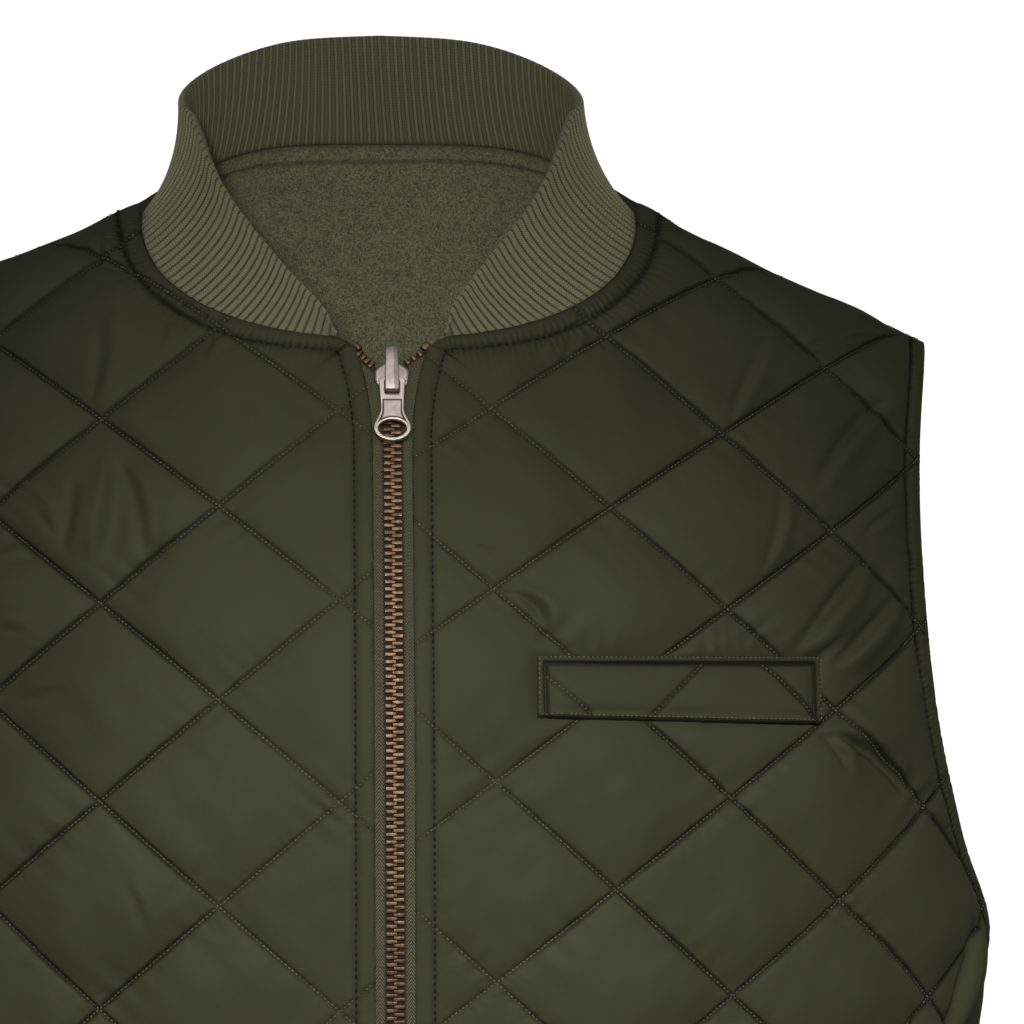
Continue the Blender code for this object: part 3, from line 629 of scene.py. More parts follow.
def cut_along(columns, polygons, level, keep_both=False, snap=CLOTH_SNAP):
    """Cut polygons where level is within snap of zero, and keep what is below it or both parts."""
    level = np.where(np.abs(level) < snap, 0.0, level)
    extra = []
    crossings = {}

    def crossing(first, second):
        key = (min(first, second), max(first, second))
        if key not in crossings:
            share = level[key[0]] / (level[key[0]] - level[key[1]])
            crossings[key] = len(columns) + len(extra)
            extra.append(columns[key[0]] + share * (columns[key[1]] - columns[key[0]]))
        return crossings[key]

    kept = []
    for polygon in polygons:
        values = [level[i] for i in polygon]
        if max(values) <= 0 or (keep_both and min(values) >= 0):
            kept.append(polygon)
            continue
        if min(values) >= 0:
            continue
        below, above = [], []
        for i, j in zip(polygon, polygon[1:] + polygon[:1]):
            if level[i] <= 0:
                below.append(i)
            if level[i] >= 0:
                above.append(i)
            if level[i] * level[j] < 0:
                middle = crossing(i, j)
                below.append(middle)
                above.append(middle)
        for part in (below, above) if keep_both else (below,):
            if len(part) > 2:
                kept.append(part)
    if extra:
        columns = np.concatenate([columns, np.array(extra)])
    return columns, kept


def drop_unused(columns, polygons):
    """Only the points that some polygon uses, with the polygons renumbered."""
    used = np.unique(np.concatenate([np.array(p) for p in polygons]))
    fresh = np.full(len(columns), -1)
    fresh[used] = np.arange(len(used))
    return columns[used], [[int(fresh[i]) for i in polygon] for polygon in polygons]


def open_edges(polygons):
    """Edges with a polygon on one side only, each in its polygon's direction."""
    seen = {}
    for polygon in polygons:
        for i, j in zip(polygon, polygon[1:] + polygon[:1]):
            seen[(i, j)] = True
    return [(i, j) for (i, j) in seen if (j, i) not in seen]


def grid_quads(rows, columns):
    """Quads of a grid whose points are listed row by row."""
    start = (np.arange(rows - 1)[:, None] * columns + np.arange(columns - 1)).ravel()
    return np.stack([start, start + 1, start + columns + 1, start + columns], axis=-1).tolist()


# Finishes


class Term:
    """A number in a material's nodes that can stand in Python sums."""

    def __init__(self, finish, socket):
        self.finish = finish
        self.socket = socket

    def math(self, operation, first, second=0.0):
        node = self.finish.node("ShaderNodeMath", {"operation": operation}, {0: first, 1: second})
        return Term(self.finish, node.outputs[0])

    def __add__(self, other):
        return self.math("ADD", self, other)

    __radd__ = __add__

    def __sub__(self, other):
        return self.math("SUBTRACT", self, other)

    def __rsub__(self, other):
        return self.math("SUBTRACT", other, self)

    def __mul__(self, other):
        return self.math("MULTIPLY", self, other)

    __rmul__ = __mul__

    def __abs__(self):
        return self.math("ABSOLUTE", self)

    def sine(self):
        return self.math("SINE", self)

    def fraction(self):
        return self.math("FRACT", self)

    def smaller(self, other):
        return self.math("MINIMUM", self, other)

    def larger(self, other):
        return self.math("MAXIMUM", self, other)

    def fade(self, reach):
        """1 at zero, falling off over reach."""
        return self.math("EXPONENT", self * (-1.0 / reach))

    def step(self, low, high):
        """0 at low, 1 at high and smooth between them."""
        node = self.finish.node(
            "ShaderNodeMapRange", {"interpolation_type": "SMOOTHSTEP"},
            {"Value": self, "From Min": low, "From Max": high},
        )
        return Term(self.finish, node.outputs[0])


def feed(tree, socket, value):
    """Give an input a plain value or another node's output."""
    if isinstance(value, Term):
        value = value.socket
    if isinstance(value, bpy.types.NodeSocket):
        tree.links.new(value, socket)
    else:
        socket.default_value = value


def add_node(tree, kind, settings=None, sockets=None):
    """Node with its settings made and its inputs fed."""
    node = tree.nodes.new(kind)
    for name, value in (settings or {}).items():
        setattr(node, name, value)
    for name, value in (sockets or {}).items():
        feed(tree, node.inputs[name], value)
    return node


class Finish:
    """A material and the nodes that make it."""

    def __init__(self, name, roughness, metallic=0.0, specular=0.5, sheen=0.0, sheen_roughness=0.5,
                 sheen_tint=(1.0, 1.0, 1.0), specular_tint=(1.0, 1.0, 1.0)):
        self.material = bpy.data.materials.new(name)
        self.material.use_nodes = True
        self.tree = self.material.node_tree
        self.shader = self.tree.nodes["Principled BSDF"]
        constants = {
            "Roughness": roughness, "Metallic": metallic, "Specular IOR Level": specular,
            "Sheen Weight": sheen, "Sheen Roughness": sheen_roughness, "Sheen Tint": (*sheen_tint, 1.0),
            "Specular Tint": (*specular_tint, 1.0),
        }
        for socket, value in constants.items():
            self.shader.inputs[socket].default_value = value
        self.place = self.node("ShaderNodeTexCoord").outputs["Object"]

    def node(self, kind, settings=None, sockets=None):
        return add_node(self.tree, kind, settings, sockets)

    def set(self, socket, value):
        feed(self.tree, self.shader.inputs[socket], value)

    def split(self, vector):
        node = self.node("ShaderNodeSeparateXYZ", None, {0: vector})
        return [Term(self, output) for output in node.outputs]

    def uv(self, name):
        """Both columns of a UV map."""
        return self.split(self.node("ShaderNodeUVMap", {"uv_map": name}).outputs[0])[:2]

    def attribute(self, name):
        return Term(self, self.node("ShaderNodeAttribute", {"attribute_name": name}).outputs["Fac"])

    def noise(self, scale, detail=2.0, roughness=0.5, stretch=None):
        """Noise over the places of the piece, which may be stretched first."""
        vector = self.place
        if stretch is not None:
            product = self.node("ShaderNodeVectorMath", {"operation": "MULTIPLY"}, {0: vector, 1: stretch})
            vector = product.outputs[0]
        node = self.node(
            "ShaderNodeTexNoise", None,
            {"Vector": vector, "Scale": scale, "Detail": detail, "Roughness": roughness},
        )
        return Term(self, node.outputs[0])

    def mix(self, factor, first, second):
        colours = [(*c, 1.0) if isinstance(c, tuple) else c for c in (first, second)]
        node = self.node(
            "ShaderNodeMix", {"data_type": "RGBA"}, {0: factor, 6: colours[0], 7: colours[1]}
        )
        return node.outputs[2]

    def shades(self, factor, colour, first, second):
        """Mix of two shades of a colour."""
        return self.mix(factor, scaled(colour, first), scaled(colour, second))

    def bump(self, height, distance, strength=1.0, below=None):
        sockets = {"Height": height, "Distance": distance, "Strength": strength}
        if below is not None:
            sockets["Normal"] = below
        return self.node("ShaderNodeBump", None, sockets).outputs[0]


def scaled(colour, factor):
    return tuple(value * factor for value in colour)


def colour_of(name):
    return tuple(getattr(bpy.context.scene.vest_colours, name))


def sizes():
    return bpy.context.scene.vest_sizes


FINISHES = {}


def finish(name):
    """The named material, made on first use."""
    if name not in FINISHES:
        FINISHES[name] = FINISH_MAKERS[name]()
    return FINISHES[name]


def nylon_finish():
    """Satin nylon with painted shade in the sewn lines, with fine puckers and a plain weave."""
    colour = colour_of("shell")
    made = Finish("quilted_nylon", 0.55, specular=0.1, specular_tint=(0.86, 0.92, 0.62))
    a, b = made.uv("quilt")
    along, inset = made.uv("edging")
    across, up = made.uv("pattern")
    pucker_turn = QUILT_SIDE * math.tau / 0.0052
    edge_turn = math.tau / 0.0028
    weave_turn = math.tau / 0.00042
    to_a = abs((a + 0.5).fraction() - 0.5) * QUILT_SPACING
    to_b = abs((b + 0.5).fraction() - 0.5) * QUILT_SPACING
    to_line = to_a.smaller(to_b).smaller(abs(inset))
    soft = made.noise(38.0, 3.0)
    shade = made.noise(9.0, 2.0)
    cloth = made.shades(shade.step(0.3, 0.7), colour, 0.9, 1.1)
    # Painted shade: the cloth darkens towards each quilting line and topstitch, less so near the zip.
    from_zip = abs(across).step(0.03, 0.12)
    groove_shade = made.shades(from_zip, colour, 0.72, 0.36)
    sewn = made.mix(to_line.step(0.0003, 0.0024), groove_shade, cloth)
    made.set("Base Color", sewn)
    made.set("Roughness", 0.5 + 0.1 * soft)
    drift = (made.noise(70.0, 1.0) - 0.5) * 16.0
    pucker_a = (b * pucker_turn + drift).sine() * to_a.fade(0.003)
    pucker_b = (a * pucker_turn + drift).sine() * to_b.fade(0.003)
    pucker_edge = (along * edge_turn + drift).sine() * abs(inset).fade(0.0042)
    gathered, _ = made.uv("gather")
    puckers = pucker_a + pucker_b + 1.8 * gathered * pucker_edge
    weave = (across * weave_turn).sine() * (up * weave_turn).sine()
    wrinkles = made.noise(120.0, 3.0, 0.55, stretch=(1.0, 1.0, 0.6))
    coarse = made.bump(puckers * 0.00012 + wrinkles * 0.00032 + soft * 0.0008, 1.0, 0.9)
    made.set("Normal", made.bump(weave, 0.00002, 0.5, coarse))
    return made.material


def rib_finish():
    """Rib knit of small loops: wide pale ribs outside with painted shade in the valleys between them,
    narrow ones inside the fold with painted shade on the knit between them.
    """
    colour = colour_of("rib")
    made = Finish("rib_knit", 0.92, specular=0.15, sheen=0.25, sheen_roughness=0.5,
                  sheen_tint=(0.85, 0.88, 0.65))
    rib, length = made.uv("knit")
    inside = length.step(-0.0008, 0.0008)
    beside = 0.5 - abs(rib.fraction() - 0.5)
    between = 1.0 - beside.step(0.02, 0.26)
    gap = beside.step(0.15, 0.2) * (1.0 - beside.step(0.24, 0.34))
    wale = abs((rib * 3.0).fraction() - 0.5)
    loop = 1.0 - abs((length * (1.0 / 0.0011) + wale).fraction() - 0.5) * 2.0
    fuzz = made.noise(900.0, 3.0, 0.6)
    light = 0.55 * loop + 0.45 * fuzz
    yarn = made.shades(light.step(0.15, 0.85), colour, 0.66, 1.3)
    # Painted shade on the knit between the narrow inner ribs, darkest in a band beside each rib.
    shaded_ground = made.mix(0.48 + 0.42 * gap, yarn, scaled(colour, 0.16))
    _, y, _ = made.split(made.place)
    near_tip = 1.0 - y.step(-0.075, -0.02)
    # Painted shade in the valleys between the outer ribs, stronger towards the front of the collar.
    outer = made.mix(between * (0.78 + 0.22 * near_tip), yarn, scaled(colour, 0.14))
    made.set("Base Color", made.mix(inside, outer, made.mix(between, shaded_ground, yarn)))
    height = loop * 0.5 + fuzz * 0.5 + between * (2.0 * inside - 1.2)
    made.set("Normal", made.bump(height, 0.00035, 0.9))
    return made.material


def fleece_finish():
    """Brushed fleece: matted tufts of two tones and a soft nap."""
    colour = colour_of("fleece")
    made = Finish("fleece", 1.0, specular=0.1, sheen=0.2, sheen_roughness=0.6,
                  sheen_tint=(0.8, 0.84, 0.62))
    tufts = made.noise(1000.0, 4.0, 0.65)
    clumps = made.noise(230.0, 3.0, 0.6)
    hairs = made.noise(2300.0, 2.0, 0.6, stretch=(1.0, 1.0, 0.45))
    tone = 0.48 * tufts + 0.14 * clumps + 0.38 * hairs
    nap = made.shades(tone.step(0.38, 0.62), colour, 0.48, 1.46)
    from_neck, _ = made.uv("neck")
    wavy = from_neck + (made.noise(220.0, 2.0) - 0.5) * 0.0024
    # Painted shade in the topstitch groove 8 mm below the neck and along the join with the collar.
    seam = abs(wavy - 0.008).fade(0.0006).larger(abs(wavy).fade(0.0012))
    made.set("Base Color", made.mix(seam * 0.6, nap, scaled(colour, 0.22)))
    ridge = 1.0 - wavy.step(0.006, 0.008)
    made.set("Normal", made.bump(tufts * 0.8 + clumps * 0.5 + hairs * 0.4 + ridge * 1.6, 0.0007, 0.8))
    return made.material


def tape_finish():
    """Zip tape woven in a herringbone."""
    colour = colour_of("tape")
    made = Finish("zip_tape", 0.85, specular=0.2, sheen=0.1)
    across, along = made.uv("pattern")
    zigzag = abs((across * (1.0 / 0.0036)).fraction() - 0.5) * 0.0036
    twill = (along + zigzag * 1.4) * (1.0 / 0.0015)
    rise = abs(twill.fraction() - 0.5) * 2.0
    speck = made.noise(1500.0, 2.0, 0.6)
    light = 0.7 * rise + 0.6 * (speck - 0.5)
    woven = made.shades(light.step(0.15, 0.85), colour, 0.42, 1.4)
    # Painted shadow: the tape turns dark brown under and between the teeth.
    made.set("Base Color", made.mix(across.step(0.0026, 0.0042), (0.026, 0.017, 0.01), woven))
    made.set("Normal", made.bump(rise + 0.5 * speck, 0.00025, 0.9))
    return made.material


def thread_finish(name="sewing_thread", shade=1.0):
    """Twisted sewing thread."""
    colour = scaled(colour_of("thread"), shade)
    made = Finish(name, 0.6, specular=0.3)
    x, y, z = made.split(made.place)
    twist = ((x + y * 0.6 + z) * (math.tau / 0.0006)).sine()
    speck = made.noise(500.0, 2.0)
    tone = 0.5 + 0.25 * twist + 0.6 * (speck - 0.5)
    made.set("Base Color", made.shades(tone.step(0.1, 0.9), colour, 0.55, 1.25))
    made.set("Normal", made.bump(twist, 0.00008, 0.7))
    return made.material


def edge_thread_finish():
    """Thread of the topstitching, darkened to near black as painted shade for the topstitched lines."""
    return thread_finish("topstitch_thread", 0.04)


def brass_finish():
    """Antique brass teeth, in brown and bright tones spread by random patina."""
    colour = colour_of("teeth")
    made = Finish("antique_brass", 0.46, metallic=1.0)
    patina = made.noise(420.0, 3.0, 0.6)
    scuff = made.noise(1500.0, 2.0)
    made.set("Base Color", made.shades(patina.step(0.35, 0.65), colour, 0.52, 1.15))
    made.set("Roughness", 0.42 + 0.22 * scuff)
    made.set("Normal", made.bump(patina, 0.00006, 0.5))
    return made.material


def slider_finish():
    """Antique metal of the slider: pale worn rims, duller and rosier in the hollows, and darkest under the
    pull, where a shadow is painted.
    """
    colour = colour_of("slider")
    made = Finish("antique_metal", 0.38, metallic=1.0)
    rubbed = made.attribute("rubbed")
    patina = made.noise(350.0, 3.0, 0.6)
    brushed = made.noise(500.0, 2.0, stretch=(6.0, 1.0, 1.0))
    panel = made.shades(patina.step(0.3, 0.7), colour, 0.66, 0.9)
    rim = made.mix(patina.step(0.3, 0.7), scaled(colour, 1.12), (0.62, 0.54, 0.42))
    # The darkest tone stands for patina in the hollows and for painted shadow, as under the pull.
    hollow_and_shadow = made.mix(rubbed.step(0.0, 0.5), scaled(colour, 0.18), panel)
    made.set("Base Color", made.mix(rubbed.step(0.5, 1.0), hollow_and_shadow, rim))
    made.set("Roughness", 0.54 - 0.08 * rubbed + 0.14 * (brushed - 0.5))
    made.set("Normal", made.bump(brushed, 0.00004, 0.5))
    return made.material


def floor_finish():
    """Pale matt floor, which glows a little to stay pale under the weak light."""
    made = Finish("pale_floor", 0.9, specular=0.2)
    grain = made.noise(40.0, 3.0)
    pale = made.mix(grain, (0.86, 0.86, 0.85), (0.9, 0.9, 0.89))
    made.set("Base Color", pale)
    made.set("Emission Color", pale)
    made.set("Emission Strength", 0.5)
    return made.material


FINISH_MAKERS = {
    "nylon": nylon_finish, "rib": rib_finish, "fleece": fleece_finish, "tape": tape_finish,
    "thread": thread_finish, "edge_thread": edge_thread_finish, "brass": brass_finish,
    "slider": slider_finish, "floor": floor_finish,
}


# Meshes


def add_object(name, data):
    """Object in the scene for a mesh, light or camera."""
    obj = bpy.data.objects.new(name, data)
    bpy.context.scene.collection.objects.link(obj)
    return obj


def settle_piece(obj, body, replaces):
    """Let a piece ride on its body and stand for CAD nodes."""
    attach(obj, body)
    if replaces:
        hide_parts(*replaces)


def mesh_piece(name, mesh, finish_name, slot, body="vest", replaces=(), sharp=None):
    """Piece that shows a mesh, smooth but for edges sharper than an angle in degrees."""
    mesh.shade_smooth()
    if sharp is not None:
        mesh.set_sharp_from_angle(angle=math.radians(sharp))
    mesh.materials.append(finish(finish_name))
    obj = add_object(name, mesh)
    settle_piece(obj, body, replaces)
    return obj


def add_piece(name, points, polygons, finish_name, slot, uvs=None, **settings):
    """Piece of points and polygons, with places on the cut piece as UV maps."""
    mesh = bpy.data.meshes.new(name)
    mesh.from_pydata(points.tolist(), [], polygons)
    for uv_name, places in (uvs or {}).items():
        layer = mesh.uv_layers.new(name=uv_name)
        corners = np.empty(len(mesh.loops), dtype=np.int32)
        mesh.loops.foreach_get("vertex_index", corners)
        layer.data.foreach_set("uv", places[corners].astype(np.float32).ravel())
    return mesh_piece(name, mesh, finish_name, slot, **settings)


def mesh_of(name, shape):
    """Mesh of a small shape, which isn't used again."""
    mesh = bpy.data.meshes.new(name)
    shape.to_mesh(mesh)
    shape.free()
    return mesh


def add_wear_and_shadow(obj, values):
    """How far each point is worn bright, for its material to read; the lowest values also carry painted
    shadow.
    """
    attribute = obj.data.attributes.new("rubbed", "FLOAT", "POINT")
    attribute.data.foreach_set("value", np.asarray(values, dtype=np.float32))


def turn_outward(obj):
    """Point the faces of a closed shape outward."""
    shape = bmesh.new()
    shape.from_mesh(obj.data)
    bmesh.ops.recalc_face_normals(shape, faces=shape.faces)
    shape.to_mesh(obj.data)
    shape.free()


def closed_wall(polygons, count):
    """Polygons of a closed wall whose back repeats the points of its front, count further on."""
    back = [[i + count for i in reversed(polygon)] for polygon in polygons]
    rim = [[j, i, i + count, j + count] for i, j in open_edges(polygons)]
    return polygons + back + rim


def wall_grid(outer, inner, rows, columns):
    """Points and quads of a closed wall between two grids of points."""
    points = np.concatenate([outer.reshape(-1, 3), inner.reshape(-1, 3)])
    return points, closed_wall(grid_quads(rows, columns), rows * columns)


def repeat_tree():
    """Geometry nodes that put a shape on each point, turned to the point's own directions."""
    tree = bpy.data.node_groups.get("repeat_on_points")
    if tree is not None:
        return tree
    tree = bpy.data.node_groups.new("repeat_on_points", "GeometryNodeTree")
    for name, kind in (
        ("Points", "NodeSocketGeometry"), ("Shape", "NodeSocketObject"), ("Size", "NodeSocketVector"),
        ("Least", "NodeSocketFloat"), ("Most", "NodeSocketFloat"), ("Seed", "NodeSocketInt"),
        ("Finish", "NodeSocketMaterial"),
    ):
        tree.interface.new_socket(name, in_out="INPUT", socket_type=kind)
    tree.interface.new_socket("Pieces", in_out="OUTPUT", socket_type="NodeSocketGeometry")

    def node(*wanted):
        return add_node(tree, *wanted)

    given = node("NodeGroupInput").outputs
    along = node("GeometryNodeInputNamedAttribute", {"data_type": "FLOAT_VECTOR"}, {"Name": "along"})
    out = node("GeometryNodeInputNamedAttribute", {"data_type": "FLOAT_VECTOR"}, {"Name": "out"})
    turn = node(
        "FunctionNodeAxesToRotation", {"primary_axis": "Z", "secondary_axis": "Y"},
        {"Primary Axis": out.outputs[0], "Secondary Axis": along.outputs[0]},
    )
    factor = node(
        "FunctionNodeRandomValue", {"data_type": "FLOAT"},
        {2: given["Least"], 3: given["Most"], "Seed": given["Seed"]},
    )
    size = node(
        "ShaderNodeVectorMath", {"operation": "SCALE"}, {0: given["Size"], "Scale": factor.outputs[1]}
    )
    shape = node("GeometryNodeObjectInfo", None, {"Object": given["Shape"]})
    set_out = node(
        "GeometryNodeInstanceOnPoints", None,
        {
            "Points": given["Points"], "Instance": shape.outputs["Geometry"],
            "Rotation": turn.outputs[0], "Scale": size.outputs[0],
        },
    )
    real = node("GeometryNodeRealizeInstances", None, {0: set_out.outputs[0]})
    smooth = node("GeometryNodeSetShadeSmooth", None, {0: real.outputs[0]})
    coloured = node(
        "GeometryNodeSetMaterial", None, {"Geometry": smooth.outputs[0], "Material": given["Finish"]}
    )
    node("NodeGroupOutput", None, {0: coloured.outputs[0]})
    return tree


def repeat_shape(name, points, along, out, shape, size, finish_name, replaces=(), uneven=0.0):
    """One piece of a small shape repeated at points."""
    mesh = bpy.data.meshes.new(name)
    mesh.from_pydata(points.tolist(), [], [])
    for attribute_name, vectors in (("along", along), ("out", out)):
        attribute = mesh.attributes.new(attribute_name, "FLOAT_VECTOR", "POINT")
        attribute.data.foreach_set("vector", vectors.astype(np.float32).ravel())
    obj = add_object(name, mesh)
    shape = add_object(shape.name, shape)
    tree = repeat_tree()
    modifier = obj.modifiers.new("repeat", "NODES")
    modifier.node_group = tree
    values = {
        "Shape": shape, "Size": size, "Least": 1.0 - uneven, "Most": 1.0 + uneven, "Seed": REPEAT_SEED,
        "Finish": finish(finish_name),
    }
    for item in tree.interface.items_tree:
        if item.in_out == "INPUT" and item.name in values:
            modifier[item.identifier] = values[item.name]
    evaluated = obj.evaluated_get(bpy.context.evaluated_depsgraph_get())
    solid = bpy.data.meshes.new_from_object(evaluated)
    obj.modifiers.clear()
    obj.data = solid
    for old in ("along", "out"):
        if old in solid.attributes:
            solid.attributes.remove(solid.attributes[old])
    solid.name = name
    bpy.data.objects.remove(shape, do_unlink=True)
    bpy.data.meshes.remove(mesh)
    settle_piece(obj, "vest", replaces)


def bead_shape():
    """Long bead that serves as one stitch, a unit across each way."""
    shape = bmesh.new()
    bmesh.ops.create_uvsphere(shape, u_segments=4, v_segments=3, radius=0.5)
    bmesh.ops.rotate(shape, verts=shape.verts, matrix=Matrix.Rotation(math.pi / 2, 3, "X"))
    return mesh_of("stitch_shape", shape)


# Quilted shell


class ShellPanel:
    """One cut piece of the shell: its outline, its quilting and the height of its cloth."""

    def __init__(self, name, face, side):
        self.name = name
        self.face = face
        self.quilt = QUILTS[name]
        self.edges = panel_edges(face, side)
        self.outline = np.concatenate([line[:-1] for _, line in self.edges])

    def lattice(self, places):
        """Place counted in quilting lines of the two directions."""
        across = places[:, 0] - self.quilt.across
        rise = places[:, 1] - self.quilt.up + self.quilt.tilt * across
        share, climb = across / self.quilt.width, rise / self.quilt.height
        return np.stack([share + climb, share - climb], axis=-1)

    def place(self, lattice):
        across = self.quilt.width * (lattice[:, 0] + lattice[:, 1]) / 2
        rise = self.quilt.height * (lattice[:, 0] - lattice[:, 1]) / 2
        return np.stack(
            [self.quilt.across + across, self.quilt.up + rise - self.quilt.tilt * across], axis=-1
        )

    def edging(self, places):
        """Distance inside the topstitching, share of the way to it, length along it and kind of edge."""
        inset = np.full(len(places), np.inf)
        share, along = np.zeros((2, len(places)))
        kinds = np.zeros(len(places), dtype=int)
        for order, (kind, line) in enumerate(self.edges):
            if kind not in EDGINGS:
                continue
            far, length = line_distance(places, line)
            width = edging_width(kind, places)
            closer = far - width < inset
            inset[closer] = (far - width)[closer]
            share[closer] = (far / width)[closer]
            along[closer] = length[closer] + 3.0 * order
            kinds[closer] = EDGING_KINDS.index(kind)
        return inset, share, along, kinds

    def line_range(self):
        """First and last quilting line of each direction that the outline may meet."""
        corners = self.lattice(self.outline)
        return np.floor(corners.min(axis=0)).astype(int), np.ceil(corners.max(axis=0)).astype(int)

    def welt_distance(self, places):
        """Distance outside the pocket's stitched border, below zero inside it."""
        if self.name != "shell_front_left":
            return np.full(len(places), 1.0)
        return welt_level(places)

    def padding(self, places, held):
        """Height of the padded cloth between the sewn lines, with its gathers and creases."""
        lattice = self.lattice(places)
        nearest, cell = np.round(lattice), np.floor(lattice)
        to_line = np.abs(lattice - nearest) * QUILT_SPACING
        pillow = pillow_shape(lattice)
        fullness = 0.82 + 0.36 * chance_of(cell[:, 0], cell[:, 1])
        if self.face == "front":
            fullness *= ZIP_PUFF + (1 - ZIP_PUFF) * soft_step(np.abs(places[:, 0]), *ZIP_PUFF_REACH)
        field = sizes().puff * fullness * pillow ** 0.42 * held
        field += lumps(places, SHELL_LUMPS) * held * pillow ** 0.3
        for family in (0, 1):
            track = lattice[:, 1 - family] * QUILT_SIDE + 0.37 * nearest[:, family]
            field += gathers(track, to_line[:, family], QUILT_GATHERS, family) * held
        return field + crease_height(places, CREASES[self.name]) * np.clip(held * 1.5, 0.0, 1.0)

    def height(self, places):
        """Height of the cloth out from the form."""
        inset, share, along, kinds = self.edging(places)
        _, sink, rolled, gathered, line = np.array(list(EDGINGS.values()))[kinds].T
        welt = self.welt_distance(places)
        held = np.clip(np.minimum(inset, welt) / HOLD_REACH, 0.0, 1.0)
        held = np.sqrt(held * (2 - held))
        field = self.padding(places, held)
        field += gathers(along, np.abs(inset), EDGE_GATHERS) * (inset > 0) * gathered
        inner = field - line - (sizes().sew_depth - line) * held
        x = np.clip(share, 0.0, 1.0)
        arch = np.clip(4 * x * (1 - x), 0.0, 1.0)
        roll = rolled * np.sqrt(arch) * (0.62 + 0.38 * pillow_shape(self.lattice(places)) ** 0.22)
        band = sink + (-line - sink) * soft_step(x, 0.35, 1.0) + roll
        band += gathers(along, 0.6 * np.abs(inset), ROLL_GATHERS) * arch * gathered
        total = np.where(inset > 0, inner, band)
        for seam, reach in SEAM_REACH.items():
            beside = 1 - soft_step(edge_distance(places, self.edges, seam), 0.0, reach)
            total += (seam_level(seam, places) - total) * beside
        flat = soft_step(-welt, -0.0002, 0.0015)
        above_welt = gathers(places[:, 0], np.abs(welt), WELT_GATHERS)
        total += above_welt * (welt > 0) * (places[:, 1] > WELT_TOP)
        return np.maximum(total * (1 - flat) + flat * WELT_SEAT, SHELL_FLOOR)

    def points(self, places, lift=0.0):
        return raised(self.face, places, self.height(places) + lift)


def pillow_shape(lattice):
    """1 in the middle of each diamond and 0 on the quilting lines."""
    fraction = lattice - np.floor(lattice)
    return np.prod(np.clip(4 * fraction * (1 - fraction), 0.0, 1.0), axis=-1)


def edging_width(kind, places):
    """Distance of the topstitching from the edge, which grows along the neck."""
    wider = 0.0026 * soft_step(np.abs(places[:, 0]), 0.02, 0.07) if kind == "neck" else 0.0
    return EDGINGS[kind].width + wider


def seam_level(seam, places):
    """Level of the cloth at a seam: shoulders stand up beside the neck, sides sink below the underarm."""
    across, up = places.T
    if seam == "side":
        return SIDE_SEAM_LEVEL - SIDE_SEAM_SINK * (1 - soft_step(up, -0.335, UNDERARM_LEVEL))
    outer = np.where(across > 0, SHOULDER_LEVELS[1], SHOULDER_LEVELS[-1])
    return NECK_SEAM_LEVEL + (outer - NECK_SEAM_LEVEL) * soft_step(np.abs(across), 0.106, 0.135)


def crease_height(places, creases):
    """Soft troughs and ridges at the listed places, with a raised fold along one side of each trough."""
    total = np.zeros(len(places))
    for crease in creases:
        *ends, bow, half_width, depth = np.array(crease) * MILLIMETRE
        start, end = np.reshape(ends, (2, 2))
        run = end - start
        length = math.hypot(*run)
        along = (places - start) @ run / length ** 2
        sideways = (places - start) @ (-run[1], run[0]) / length - bow * 4 * along * (1 - along)
        taper = np.clip(1 - (2 * along - 1) ** 2, 0.0, 1.0) ** 0.7
        width = half_width * (0.55 + 0.45 * taper)
        trough = hump(sideways, 0.0, 0.7 * width)
        fold = hump(sideways, 1.7 * width, 1.5 * width)
        total += depth * taper * (0.7 * fold - trough)
    return total


def welt_level(places):
    """Distance outside the welt's outline on the cut piece, below zero inside."""
    across, up = places.T
    share = (across - WELT_LEFT) / (WELT_RIGHT - WELT_LEFT)
    low = WELT_LOW_LEFT + (WELT_LOW_RIGHT - WELT_LOW_LEFT) * share
    sides = np.maximum(WELT_LEFT - across, across - WELT_RIGHT)
    ends = np.maximum(up - WELT_TOP, low - up)
    outside = np.hypot(np.maximum(sides, 0.0), np.maximum(ends, 0.0))
    return np.where(outside > 0, outside, np.maximum(sides, ends))


def crowded_ticks(low, high, steps):
    """Whole range of lattice values, closer together beside the quilting lines."""
    even = np.arange(low * steps, high * steps + 1) / steps
    return even - LINE_CROWDING * np.sin(math.tau * even) / math.tau


def shell_mesh(panel):
    """Points on the cut piece and polygons of the panel, cut at its outline and along its topstitching."""
    first, second = (crowded_ticks(low, high, panel.quilt.steps) for low, high in zip(*panel.line_range()))
    lattice = np.stack(np.meshgrid(first, second, indexing="ij"), axis=-1).reshape(-1, 2)
    places = panel.place(lattice)
    inside = inside_outline(places, panel.outline)
    quads = np.array(grid_quads(len(first), len(second)))
    quads = quads[inside[quads].any(axis=1)].tolist()
    places, polygons = drop_unused(places, quads)
    places, polygons = cut_along(places, polygons, outline_level(places, panel.outline))
    places, polygons = cut_along(places, polygons, panel.edging(places)[0], keep_both=True)
    places, polygons = drop_unused(places, polygons)
    return places, polygon_facing(places, polygons, FACING[panel.face])


